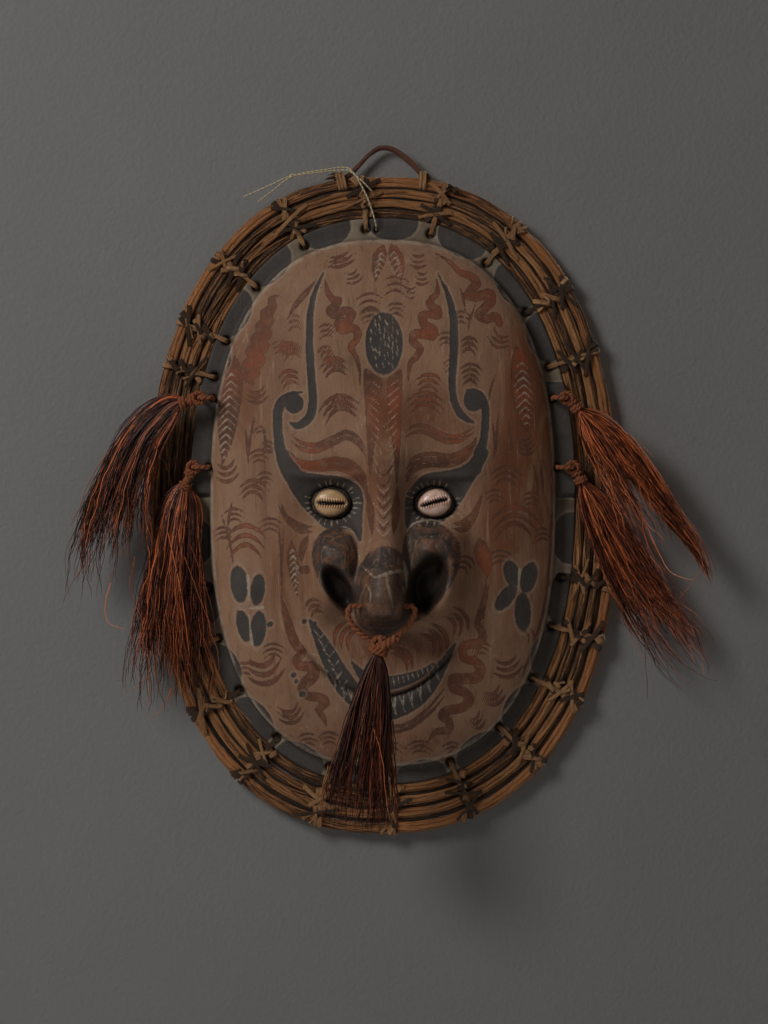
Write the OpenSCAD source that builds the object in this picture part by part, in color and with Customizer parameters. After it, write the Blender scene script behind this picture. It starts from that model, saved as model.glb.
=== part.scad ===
/* [Placing] */
// Height of the hanging point above the rim's centre
hang_drop = 269; // [240:1:300]

/* [Board] */
// Half width of the board
board_half_width = 146; // [120:1:170]
// Half height of the board
board_half_height = 215; // [180:1:250]
// How square the board's oval is
board_power = 2.3; // [2:0.1:3]
// Depth of the flange's back face in front of the wall
flange_back = 4.2; // [2:0.1:8]
// Depth of the flange's front face
flange_front = 12; // [9:0.5:18]
// Depth of the lugs' front face
lug_front = 16; // [13:0.5:20]

/* [Raised face] */
// Half width of the raised face
face_half_width = 130; // [110:1:140]
// Half height of the raised face
face_half_height = 199; // [170:1:210]
// Depth of the face at its edge
face_edge = 20; // [15:1:30]
// Extra depth at the face's middle
face_rise = 32; // [15:1:45]
// Depth of the hollow behind the face
hollow_rise = 26; // [10:1:28]
// Height of the nose tip above the face
nose_rise = 54; // [30:1:70]
// Height of each nostril wing above the face
wing_rise = 27; // [10:1:35]

/* [Rim canes] */
// Width of each inner tan cane
cane_width = 4.8; // [3:0.1:6]
// Width of the outermost cane
outer_cane_width = 6.4; // [4:0.1:8]
// Width of each dark cane
dark_cane_width = 2.4; // [1.5:0.1:3]
// Depth of the front canes' front face
cane_front = 12; // [10:0.5:14]

/* [Lashings] */
// Width of each lashing strip
strip_width = 5; // [3:0.5:6]
// Thickness of each lashing strip
strip_thickness = 1.2; // [0.8:0.1:2]
// Distance of each lashing hole in from the board's edge
hole_inset = 8; // [6:0.5:10]
// Radius of each lashing hole
hole_radius = 3.2; // [2.8:0.1:4]

/* [Cords and tassels] */
// Radius of the tassels' cords
cord_radius = 1.8; // [1.5:0.1:2.2]
// Radial running clearance of each knot on its cord
knot_clearance = 0.05; // [0.02:0.01:0.1]
// Radius of each side knot
knot_radius = 6; // [4:0.5:7]
// Radius of the thin string
string_radius = 0.6; // [0.4:0.1:1]

/* [Hidden] */
$fn = 48;
WOOD = [0.36, 0.27, 0.22];
TAN = [0.55, 0.38, 0.22];
DARK = [0.14, 0.11, 0.09];
BARK = [0.42, 0.24, 0.16];
FIBRE = [0.38, 0.18, 0.11];
SHELLS = [0.78, 0.70, 0.55];
GUM = [0.10, 0.08, 0.07];
TWINE = [0.66, 0.58, 0.46];
UP = [0.55, 0.55, -0.62];

// Angles of the lashings over the top, which stop short of the left lug, and round the bottom
UPPER = [for (i = [0:8]) min(38 + 13.9 * i, 144.6)];
LOWER = [for (i = [0:10]) -22.4 - 13.2 * i];

function sgn(v) = v < 0 ? -1 : 1;
function oval(a, b, n, cz, count) = [for (i = [0:count - 1])
  let (t = 360 * i / count, c = cos(t), s = sin(t))
  [a * sgn(c) * pow(abs(c), 2 / n), cz + b * sgn(s) * pow(abs(s), 2 / n)]];

// The rim family: half height and centre height that go with a half width
function share(a) = (a - 146) / 31.4;
function rim_b(a) = board_half_height + 35 * share(a);
function rim_c(a) = 1.5 - 3.5 * share(a);

// A point on the board's edge at an angle about its centre, and the edge's outward angle there
function edge_r(t) = 1 / pow(pow(abs(cos(t)) / board_half_width, board_power)
  + pow(abs(sin(t)) / board_half_height, board_power), 1 / board_power);
function edge_at(t) = [edge_r(t) * cos(t), rim_c(146) + edge_r(t) * sin(t)];
function edge_angle(t) = let (p = edge_at(t), x = p[0] / board_half_width,
  z = (p[1] - rim_c(146)) / board_half_height)
  atan2(sgn(z) * pow(abs(z), board_power - 1) / board_half_height,
    sgn(x) * pow(abs(x), board_power - 1) / board_half_width);
function hole_at(t) = edge_at(t) - hole_inset * [cos(edge_angle(t)), sin(edge_angle(t))];
function past(p) = pow(abs(p[0]) / 177.4, board_power)
  + pow(abs(p[1] - rim_c(174.2)) / (rim_b(174.2) + 3.2), board_power) - 1;
function reach(p, e, lo, hi, k) = k == 0 ? hi :
  let (m = (lo + hi) / 2)
  past(p + m * e) > 0 ? reach(p, e, lo, m, k - 1) : reach(p, e, m, hi, k - 1);

// The face's depth in front of the wall
function face_q(x, z) = pow(abs(x) / face_half_width, 2.5) + pow(abs(z) / face_half_height, 2.5);
function dome(x, z) = face_edge + face_rise * pow(max(0, 1 - face_q(x, z)), 0.6);
function brow(x, z) = 9 * exp(-pow((z - 36) / 17, 2)) * exp(-pow(abs(x) / 78, 4));
function socket(x, z) = 9 * exp(-pow((abs(x) - 40) / 24, 2) - pow((z - 1) / 15, 2));
function ridge(z) = nose_rise * lookup(z, [[-97, 0], [-94, 0.06], [-90, 0.55], [-82, 0.93], [-69, 1],
  [-55, 0.9], [-40, 0.66], [-20, 0.42], [0, 0.28], [30, 0.2], [60, 0.1], [85, 0]]);
function ridge_w(z) = lookup(z, [[-97, 17], [-85, 20], [-69, 21], [-50, 17], [-20, 14], [0, 13], [40, 16]]);
function nose(x, z) = ridge(z) * exp(-0.7 * pow(abs(x - 1) / ridge_w(z), 2.6));
function wing(x, z) = max(
  wing_rise * exp(-pow(abs(x + 35) / 19, 3) - pow(abs(z + 53) / 31, 4)),
  (wing_rise + 3) * exp(-pow(abs(x - 39) / 21, 3) - pow(abs(z + 52) / 34, 4)));
function front(x, z) = dome(x, z) + brow(x, z) - socket(x, z) + max(nose(x, z), wing(x, z));
function hollow(x, z) = let (q = pow(abs(x) / 116, 2.5) + pow(abs(z) / 185, 2.5))
  5 + hollow_rise * pow(max(0, 1 - q), 0.6);

// Smooth curve through points
function spline(p, per) = [for (i = [0:len(p) - 2]) for (j = [0:per - 1])
  let (t = j / per, a = p[max(0, i - 1)], b = p[i], c = p[i + 1], d = p[min(len(p) - 1, i + 2)])
  0.5 * (2 * b + (c - a) * t + (2 * a - 5 * b + 4 * c - d) * t * t + (3 * b - a - 3 * c + d) * t * t * t),
  p[len(p) - 1]];
function unit(v) = v / norm(v);
function way(p, i) = unit(p[min(len(p) - 1, i + 1)] - p[max(0, i - 1)]);
function to_row(v) = [v[0], -v[1], v[2] - hang_drop];

module tube_mesh(rings, sides) {
  n = len(rings);
  points = [for (r = rings) for (v = r) to_row(v)];
  walls = [for (i = [0:n - 2]) for (j = [0:sides - 1])
    let (a = i * sides + j, b = i * sides + (j + 1) % sides) each [[a, b, b + sides], [a, b + sides, a + sides]]];
  ends = [[for (j = [0:sides - 1]) sides - 1 - j], [for (j = [0:sides - 1]) (n - 1) * sides + j]];
  polyhedron(points = points, faces = concat(walls, ends), convexity = 8);
}

// A thin string along points (x, depth, height)
module string_tube(points, sides = 8) {
  p = spline(points, 4);
  rings = [for (i = [0:len(p) - 1])
    let (w = way(p, i), a = unit(cross(w, UP)), b = cross(w, a))
    [for (j = [0:sides - 1]) p[i] + string_radius * (cos(-360 * j / sides) * a + sin(-360 * j / sides) * b)]];
  tube_mesh(rings, sides);
}

// A fibre bundle along points (x, height) at one depth, with half widths and a half thickness
module bundle(points, widths, depth, thick, sides = 16) {
  p = spline([for (i = [0:len(points) - 1]) [points[i][0], points[i][1], widths[i]]], 4);
  n = len(p);
  rings = [for (i = [0:n - 1])
    let (a = p[min(n - 1, i + 1)], b = p[max(0, i - 1)], w = unit([a[0] - b[0], a[1] - b[1]]),
      k = min(1, 0.45 + 0.12 * i))
    [for (j = [0:sides - 1]) let (t = 360 * j / sides, s = p[i][2] * cos(t))
      [p[i][0] + s * w[1], depth + k * thick * sin(t), p[i][1] - s * w[0]]]];
  tube_mesh(rings, sides);
}

// A flat piece between two depths, drawn as (x, height)
module slab(d0, d1) {
  translate([0, -d0, -hang_drop])
    rotate([90, 0, 0])
      linear_extrude(d1 - d0)
        children();
}

// A bore or peg along the depth
module drill(p, r, d0, d1) {
  translate([p[0], -d0, p[1] - hang_drop])
    rotate([90, 0, 0])
      cylinder(r = r, h = d1 - d0);
}

module hoop(a, w, d0, d1) {
  slab(d0, d1)
    difference() {
      polygon(oval(a + w / 2, rim_b(a) + w / 2, board_power, rim_c(a), 144));
      polygon(oval(a - w / 2, rim_b(a) - w / 2, board_power, rim_c(a), 144));
    }
}

function soft_box(u0, u1, d0, d1, c) = [[u0 + c, -d0], [u1 - c, -d0], [u1, -d0 - c], [u1, -d1 + c],
  [u1 - c, -d1], [u0 + c, -d1], [u0, -d1 + c], [u0, -d0 - c]];

// A flat strip wrapped round what lies between u0 and u1 outward of a point
module wrap(p, angle, u0, u1, d0, d1, t, w) {
  translate([p[0], 0, p[1] - hang_drop])
    rotate([0, -angle, 0])
      translate([0, 0, -w / 2])
        linear_extrude(w)
          difference() {
            polygon(soft_box(u0 - t, u1 + t, d0 - t, d1 + t, 0.9));
            polygon(soft_box(u0, u1, d0, d1, 0.3));
          }
}

module lashing(t) {
  p = hole_at(t);
  g = edge_angle(t);
  wrap(p, g, strip_thickness / 2, reach(p, [cos(g), sin(g)], 10, 80, 24) + 0.4,
    strip_thickness, 13.6, strip_thickness, strip_width);
}

module rod(p, q, r) {
  d = q - p;
  translate(p)
    rotate([0, acos(d[2] / norm(d)), atan2(d[1], d[0])])
      cylinder(r = r, h = norm(d));
}

// A closed cord round a lug: side is -1 or 1, runs at two widths, two depths, one height
module side_loop(side, x0, x1, d0, d1, z) {
  c = 3.4;
  translate([0, 0, z - hang_drop]) {
    rod([side * x0, -d0 - c, 0], [side * x0, -d1 + c, 0], cord_radius);
    rod([side * x1, -d0 - c, 0], [side * x1, -d1 + c, 0], cord_radius);
    rod([side * (x0 + c), -d0, 0], [side * (x1 - c), -d0, 0], cord_radius);
    rod([side * (x0 + c), -d1, 0], [side * (x1 - c), -d1, 0], cord_radius);
    for (k = [[x0 + c, d0 + c, 1, 1], [x1 - c, d0 + c, -1, 1], [x0 + c, d1 - c, 1, -1], [x1 - c, d1 - c, -1, -1]])
      translate([side * k[0], -k[1], 0])
        rotate([0, 0, atan2(k[3], -side * k[2]) - 45])
          rotate_extrude(angle = 90)
            translate([c, 0])
              circle(r = cord_radius);
  }
}

// A knot that turns on a run of cord along the depth
module knot(p, d0, d1, r) {
  difference() {
    union() {
      drill(p, r - 1, d0, d1);
      drill(p, r, d0 + 1, d1 - 1);
    }
    drill(p, cord_radius + knot_clearance, d0 - 1, d1 + 1);
  }
}

module face_mesh() {
  ns = 72;
  fr = [0, for (i = [1:24]) pow(i / 24, 0.9)];
  br = [1, 0.893, 0.86, 0.8, 0.7, 0.58, 0.45, 0.3, 0.15];
  nf = len(fr) - 1;
  nb = len(br);
  function at(r, j) = let (t = 360 * j / ns, c = cos(t), s = sin(t))
    [r * face_half_width * sgn(c) * pow(abs(c), 0.8), r * face_half_height * sgn(s) * pow(abs(s), 0.8)];
  points = concat([to_row([0, front(0, 0), 0])],
    [for (i = [1:nf]) for (j = [0:ns - 1]) let (p = at(fr[i], j)) to_row([p[0], front(p[0], p[1]), p[1]])],
    [for (i = [0:nb - 1]) for (j = [0:ns - 1]) let (p = at(br[i], j)) to_row([p[0], hollow(p[0], p[1]), p[1]])],
    [to_row([0, hollow(0, 0), 0])]);
  m = nf + nb;
  last = 1 + m * ns;
  faces = concat([for (j = [0:ns - 1]) [0, 1 + (j + 1) % ns, 1 + j]],
    [for (i = [0:m - 2]) for (j = [0:ns - 1])
      let (a = 1 + i * ns + j, b = 1 + i * ns + (j + 1) % ns) each [[a, b, b + ns], [a, b + ns, a + ns]]],
    [for (j = [0:ns - 1]) [last, 1 + (m - 1) * ns + j, 1 + (m - 1) * ns + (j + 1) % ns]]);
  polyhedron(points = points, faces = faces, convexity = 10);
}

module mask_board() {
  color(WOOD)
    difference() {
      union() {
        slab(flange_back, flange_front)
          difference() {
            polygon(oval(board_half_width, board_half_height, board_power, rim_c(146), 144));
            polygon(oval(119, 188, 2.5, 0, 96));
          }
        slab(flange_front - 1, lug_front)
          intersection() {
            polygon(oval(board_half_width, board_half_height, board_power, rim_c(146), 144));
            for (side = [-1, 1])
              translate([side * 134 - 13, 5])
                square([26, 87]);
          }
        face_mesh();
      }
      for (t = UPPER)
        drill(hole_at(t), hole_radius, 0, 20);
      for (t = LOWER)
        drill(hole_at(t), hole_radius, 0, 20);
      for (side = [-1, 1]) {
        drill([side * 128.5, 79], 2.1, 0, 32);
        drill([side * 132, 27], 2.1, 0, 32);
        slab(0, 30)
          translate([side * 139.4 - 3.5, 79 - 2.6])
            square([7, 5.2]);
        slab(0, 30)
          translate([side * 144.7 - 3.5, 27 - 2.6])
            square([7, 5.2]);
        slab(37, 70)
          translate([side * 38.5, 0])
            scale([15.5, 12.5])
              circle(r = 1);
      }
      drill([-5, 207.5], 1.3, 0, 20);
      translate([-60, -84, -76 - hang_drop])
        rotate([0, 90, 0])
          cylinder(r = cord_radius + knot_clearance, h = 120);
      slab(56, 100)
        translate([-35, -60])
          scale([10, 9])
            circle(r = 1);
      slab(56, 100)
        translate([37, -57])
          scale([12, 14])
            circle(r = 1);
      slab(40.5, 60)
        polygon([[-2, -143], [10, -142.5], [21, -139], [33, -131], [43, -118], [30, -126], [19, -133], [9, -137], [-1, -138.5]]);
    }
}

module eye_body(side, grow) {
  translate([side * 38.5, -46.5, -hang_drop])
    scale([13 + grow, 8 + grow, 10 + grow])
      sphere(r = 1, $fn = 36);
}

function loop_path() = spline([[-37, 248], [-31, 248.9], [-25.5, 252.5], [-19, 262], [-9, 269.3], [2, 271.3],
  [13, 270.2], [22, 264.5], [26, 256], [29.5, 250.4], [36.5, 248.3]], 5);
function loop_outline() = let (p = loop_path(), n = len(p)) concat(
  [for (i = [0:n - 1]) let (w = way(p, i)) p[i] + 2.3 * [-w[1], w[0]]],
  [for (i = [n - 1:-1:0]) let (w = way(p, i)) p[i] - 2.3 * [-w[1], w[0]]]);

// A strip wrapped round the outermost canes and one foot of the loop
module loop_binding(x, w) {
  z = rim_c(170.1) + (rim_b(170.1)) * pow(1 - pow(abs(x) / 170.1, board_power), 1 / board_power);
  g = atan2(pow((z - rim_c(170.1)) / rim_b(170.1), board_power - 1) / rim_b(170.1),
    sgn(x) * pow(abs(x) / 170.1, board_power - 1) / 170.1);
  wrap([x, z], g, 0.5, 13.4, 1.2, 12.4, 1, w);
}

module rim_front_cane_1() {
  color(TAN)
    hoop(149.4, cane_width, 6, cane_front);
}

module rim_front_cane_2() {
  color(TAN)
    hoop(157, cane_width, 6, cane_front);
}

module rim_front_cane_3() {
  color(TAN)
    hoop(164.6, cane_width, 6, cane_front);
}

module rim_front_cane_4() {
  color(BARK)
    hoop(174.2, outer_cane_width, 6, cane_front);
}

module rim_dark_cane_1() {
  color(DARK)
    hoop(153.2, dark_cane_width, 6, cane_front - 1.5);
}

module rim_dark_cane_2() {
  color(DARK)
    hoop(160.8, dark_cane_width, 6, cane_front - 1.5);
}

module rim_dark_cane_3() {
  color(DARK)
    hoop(168.2, dark_cane_width - 0.4, 6, cane_front - 1.5);
}

module rim_back_cane_1() {
  color(TAN)
    hoop(149.4, cane_width, 1.6, 5.8);
}

module rim_back_cane_2() {
  color(TAN)
    hoop(157, cane_width, 1.6, 5.8);
}

module rim_back_cane_3() {
  color(TAN)
    hoop(164.6, cane_width, 1.6, 5.8);
}

module rim_back_cane_4() {
  color(TAN)
    hoop(174.2, outer_cane_width, 1.6, 5.8);
}

module rim_lashing_01() {
  color(TAN)
    lashing(UPPER[0]);
}

module rim_lashing_02() {
  color(TAN)
    lashing(UPPER[1]);
}

module rim_lashing_03() {
  color(TAN)
    lashing(UPPER[2]);
}

module rim_lashing_04() {
  color(TAN)
    lashing(UPPER[3]);
}

module rim_lashing_05() {
  color(TAN)
    lashing(UPPER[4]);
}

module rim_lashing_06() {
  color(TAN)
    lashing(UPPER[5]);
}

module rim_lashing_07() {
  color(TAN)
    lashing(UPPER[6]);
}

module rim_lashing_08() {
  color(TAN)
    lashing(UPPER[7]);
}

module rim_lashing_09() {
  color(TAN)
    lashing(UPPER[8]);
}

module rim_lashing_10() {
  color(TAN)
    lashing(LOWER[0]);
}

module rim_lashing_11() {
  color(TAN)
    lashing(LOWER[1]);
}

module rim_lashing_12() {
  color(TAN)
    lashing(LOWER[2]);
}

module rim_lashing_13() {
  color(TAN)
    lashing(LOWER[3]);
}

module rim_lashing_14() {
  color(TAN)
    lashing(LOWER[4]);
}

module rim_lashing_15() {
  color(TAN)
    lashing(LOWER[5]);
}

module rim_lashing_16() {
  color(TAN)
    lashing(LOWER[6]);
}

module rim_lashing_17() {
  color(TAN)
    lashing(LOWER[7]);
}

module rim_lashing_18() {
  color(TAN)
    lashing(LOWER[8]);
}

module rim_lashing_19() {
  color(TAN)
    lashing(LOWER[9]);
}

module rim_lashing_20() {
  color(TAN)
    lashing(LOWER[10]);
}

module eye_gum_left() {
  color(GUM)
    difference() {
      slab(37.1, 46)
        translate([-38.5, 0])
          scale([15.4, 12.4])
            circle(r = 1);
      eye_body(-1, 0.05);
    }
}

module eye_cowrie_left() {
  color(SHELLS)
    difference() {
      eye_body(-1, 0);
      translate([-38.5, -57, -hang_drop])
        rotate([0, 4, 0])
          cube([20, 14, 1.6], center = true);
    }
}

module eye_gum_right() {
  color(GUM)
    difference() {
      slab(37.1, 46)
        translate([38.5, 0])
          scale([15.4, 12.4])
            circle(r = 1);
      eye_body(1, 0.05);
    }
}

module eye_cowrie_right() {
  color(SHELLS)
    difference() {
      eye_body(1, 0);
      translate([38.5, -57, -hang_drop])
        rotate([0, -15, 0])
          cube([20, 14, 1.6], center = true);
    }
}

module hanging_loop() {
  color(BARK)
    slab(3.5, 9.5)
      polygon(loop_outline());
}

module loop_binding_left() {
  color(TAN)
    loop_binding(-32.5, 7);
}

module loop_binding_right() {
  color(TAN)
    loop_binding(31.6, 5.6);
}

module rim_tie_peg() {
  color(BARK)
    drill([55, 237], 2.6, cane_front, 20);
}

module string_long() {
  color(TWINE)
    string_tube([[-5, 7, 207.5], [-5, 12, 208], [-6, 16.5, 214], [-12, 17.5, 232], [-22, 15, 250], [-29, 12, 255], [-45, 13, 253], [-69, 14, 248.5], [-86, 15, 241], [-106, 16, 232]]);
}

module string_short() {
  color(TWINE)
    string_tube([[-8, 16.6, 236], [-15, 18.8, 243], [-25, 16.4, 251.5], [-32, 14, 252.6], [-47, 14.6, 251], [-69, 15.8, 247.4], [-82, 16.6, 238], [-95, 17.6, 228]]);
}

module string_knot() {
  color(TWINE)
    translate([-69, -15, 248 - hang_drop])
      sphere(r = 2.6);
}

module left_upper_cord_loop() {
  color(FIBRE)
    side_loop(-1, 128.5, 138.2, 2.15, 41, 79);
}

module left_lower_cord_loop() {
  color(FIBRE)
    side_loop(-1, 132, 143.5, 2.15, 28, 27);
}

module right_upper_cord_loop() {
  color(FIBRE)
    side_loop(1, 128.5, 138.2, 2.15, 41, 79);
}

module right_lower_cord_loop() {
  color(FIBRE)
    side_loop(1, 132, 143.5, 2.15, 28, 27);
}

module nose_cord_loop() {
  color(FIBRE)
    translate([0, 0, -hang_drop]) {
      rod([-24, -84, -76], [22, -84, -76], cord_radius);
      rod([-24, -84, -76], [-24, -84, -97], cord_radius);
      rod([22, -84, -76], [22, -84, -97], cord_radius);
      rod([-24, -84, -97], [-2, -84, -104], cord_radius);
      rod([22, -84, -97], [-2, -84, -104], cord_radius);
      rod([-2, -84, -104], [-2, -95, -104], cord_radius);
      rod([-2, -94.6, -104], [-2, -96.4, -104], 3.2);
      for (p = [[-24, -84, -76], [22, -84, -76], [-24, -84, -97], [22, -84, -97], [-2, -84, -104]])
        translate(p)
          sphere(r = cord_radius + 0.4);
    }
}

module left_upper_knot() {
  color(FIBRE)
    knot([-138.2, 79], 30, 38, knot_radius);
}

module left_lower_knot() {
  color(FIBRE)
    knot([-143.5, 27], 17, 25, knot_radius);
}

module right_upper_knot() {
  color(FIBRE)
    knot([138.2, 79], 30, 38, knot_radius);
}

module right_lower_knot() {
  color(FIBRE)
    knot([143.5, 27], 17, 25, knot_radius);
}

module nose_knot() {
  color(FIBRE)
    knot([-2, -104], 86.3, 94.2, 5);
}

module left_upper_fibres() {
  color(FIBRE)
    bundle([[-144.6, 77.4], [-158, 70], [-180, 42], [-199, 2], [-208, -40], [-210, -74]],
      [3, 6, 11, 20, 30, 18], 34, 4.6);
}

module left_lower_fibres() {
  color(FIBRE)
    bundle([[-145.6, 20.6], [-150, 4], [-157, -36], [-160, -84], [-161, -130], [-161, -157]],
      [3, 7, 14, 24, 31, 20], 21, 4.6);
}

module right_upper_fibres() {
  color(FIBRE)
    bundle([[144, 75.8], [160, 60], [190, 30], [220, -4], [240, -34], [250, -58]],
      [3, 6, 12, 17, 17, 8], 34, 4.6);
}

module right_lower_fibres() {
  color(FIBRE)
    bundle([[147, 21.4], [160, -2], [182, -44], [208, -84], [228, -112], [241, -131]],
      [3, 6, 13, 17, 16, 8], 21, 4.6);
}

module nose_fibres() {
  color(FIBRE)
    bundle([[-3, -109.4], [-5, -124], [-9, -150], [-13, -185], [-17, -220], [-18, -242]],
      [3, 7, 13, 20, 27, 19], 90, 6);
}

mask_board();
rim_front_cane_1();
rim_front_cane_2();
rim_front_cane_3();
rim_front_cane_4();
rim_dark_cane_1();
rim_dark_cane_2();
rim_dark_cane_3();
rim_back_cane_1();
rim_back_cane_2();
rim_back_cane_3();
rim_back_cane_4();
rim_lashing_01();
rim_lashing_02();
rim_lashing_03();
rim_lashing_04();
rim_lashing_05();
rim_lashing_06();
rim_lashing_07();
rim_lashing_08();
rim_lashing_09();
rim_lashing_10();
rim_lashing_11();
rim_lashing_12();
rim_lashing_13();
rim_lashing_14();
rim_lashing_15();
rim_lashing_16();
rim_lashing_17();
rim_lashing_18();
rim_lashing_19();
rim_lashing_20();
eye_gum_left();
eye_cowrie_left();
eye_gum_right();
eye_cowrie_right();
hanging_loop();
loop_binding_left();
loop_binding_right();
rim_tie_peg();
string_long();
string_short();
string_knot();
left_upper_cord_loop();
left_lower_cord_loop();
right_upper_cord_loop();
right_lower_cord_loop();
nose_cord_loop();
left_upper_knot();
left_lower_knot();
right_upper_knot();
right_lower_knot();
nose_knot();
left_upper_fibres();
left_lower_fibres();
right_upper_fibres();
right_lower_fibres();
nose_fibres();
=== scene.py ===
"""The looks of a carved spirit mask: a painted board in a lashed cane rim, with cowrie eyes,
a hanging loop, a thin string and five fibre tassels. Lengths in the pieces' own making are
millimetres, as (x, depth in front of the wall, height above the rim's centre)."""

import math

import bpy
import numpy as np
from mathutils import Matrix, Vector


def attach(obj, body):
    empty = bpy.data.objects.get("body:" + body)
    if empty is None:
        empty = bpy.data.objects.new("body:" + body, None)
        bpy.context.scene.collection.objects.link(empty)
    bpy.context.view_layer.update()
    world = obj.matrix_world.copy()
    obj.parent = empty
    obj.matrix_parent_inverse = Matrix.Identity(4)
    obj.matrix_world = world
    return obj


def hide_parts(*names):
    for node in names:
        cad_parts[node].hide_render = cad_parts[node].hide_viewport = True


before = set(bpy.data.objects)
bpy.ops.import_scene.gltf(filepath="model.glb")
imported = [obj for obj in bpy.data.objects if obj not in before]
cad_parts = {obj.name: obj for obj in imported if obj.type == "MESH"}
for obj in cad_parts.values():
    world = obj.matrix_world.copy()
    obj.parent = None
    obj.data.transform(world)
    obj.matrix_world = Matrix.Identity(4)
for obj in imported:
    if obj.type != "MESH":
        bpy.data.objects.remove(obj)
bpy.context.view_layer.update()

HANG_DROP = 269.0  # height of the hanging point above the rim's centre
FACE = (130.0, 199.0, 2.5)  # the raised face's half width, half height and power
BOARD = (146.0, 215.0, 2.3)  # the board's, about a centre that is this far up:
BOARD_CENTRE = 1.5
HOLLOW = (119, 188, 2.5)  # the hollow's in the back
FLANGE_BACK, FLANGE_FRONT = 4.2, 12.0  # depths of the flange's two faces
RIM_WIDTH = 31.4  # the rim's width at the sides; at top and bottom it is RIM_EXTRA wider
RIM_EXTRA = 3.6
EYE_X, EYE_DEPTH = 38.5, 46.6  # each eye's place, to the side and in front of the wall
COWRIE = (13, 10)  # half length and half width
GUM_BED = (15.4, 12.4)
UNPAINTED = 5.0  # millimetres from any paint, far enough to show none
# the angles of the lashings, in degrees, and the places of the holes in the two lugs
LASHINGS = [min(38 + 13.9 * i, 144.6) for i in range(9)] + [-22.4 - 13.2 * j for j in range(11)]
LUG_HOLES = [(s * x, z) for s in (-1, 1) for x, z in ((128.5, 79), (132, 27))]


# ---------------------------------------------------------------- shared helpers

def place(points):
    """(x, depth, height) in millimetres to the row frame in metres."""
    p = np.asarray(points, float)
    return np.stack([p[:, 0], -p[:, 1], p[:, 2] - HANG_DROP], 1) / 1000


def spline(points, per=6):
    """A smooth curve through the points: Catmull-Rom."""
    p = np.asarray(points, float)
    q = np.vstack([p[:1], p, p[-1:]])
    t = (np.arange(per) / per)[None, :, None]
    a, b, c, d = (q[i : len(q) - 3 + i][:, None, :] for i in range(4))
    made = 0.5 * (2 * b + (c - a) * t + (2 * a - 5 * b + 4 * c - d) * t**2
                  + (3 * b - a - 3 * c + d) * t**3)
    return np.vstack([made.reshape(-1, p.shape[1]), p[-1:]])


def distance(p):
    """How far along a path each of its points is."""
    return np.r_[0, np.cumsum(np.linalg.norm(np.diff(p, axis=0), axis=1))]


def resample(p, n):
    """The path as n points, evenly spaced, and how far along each is."""
    s = distance(p)
    u = np.linspace(0, s[-1], n)
    return np.stack([np.interp(u, s, p[:, k]) for k in range(p.shape[1])], 1), u


def frames(p, closed=False):
    """Tangents and two normals that don't twist along a path."""
    if closed:
        t = np.roll(p, -1, 0) - np.roll(p, 1, 0)
    else:
        t = np.gradient(p, axis=0)
    t /= np.linalg.norm(t, axis=1)[:, None] + 1e-12
    n = np.zeros_like(p)
    first = np.cross(t[0], [0.13, 0.97, 0.21])
    n[0] = first / np.linalg.norm(first)
    for i in range(1, len(p)):
        v = n[i - 1] - t[i] * np.dot(n[i - 1], t[i])
        n[i] = v / (np.linalg.norm(v) + 1e-12)
    return t, n, np.cross(t, n)


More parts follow.
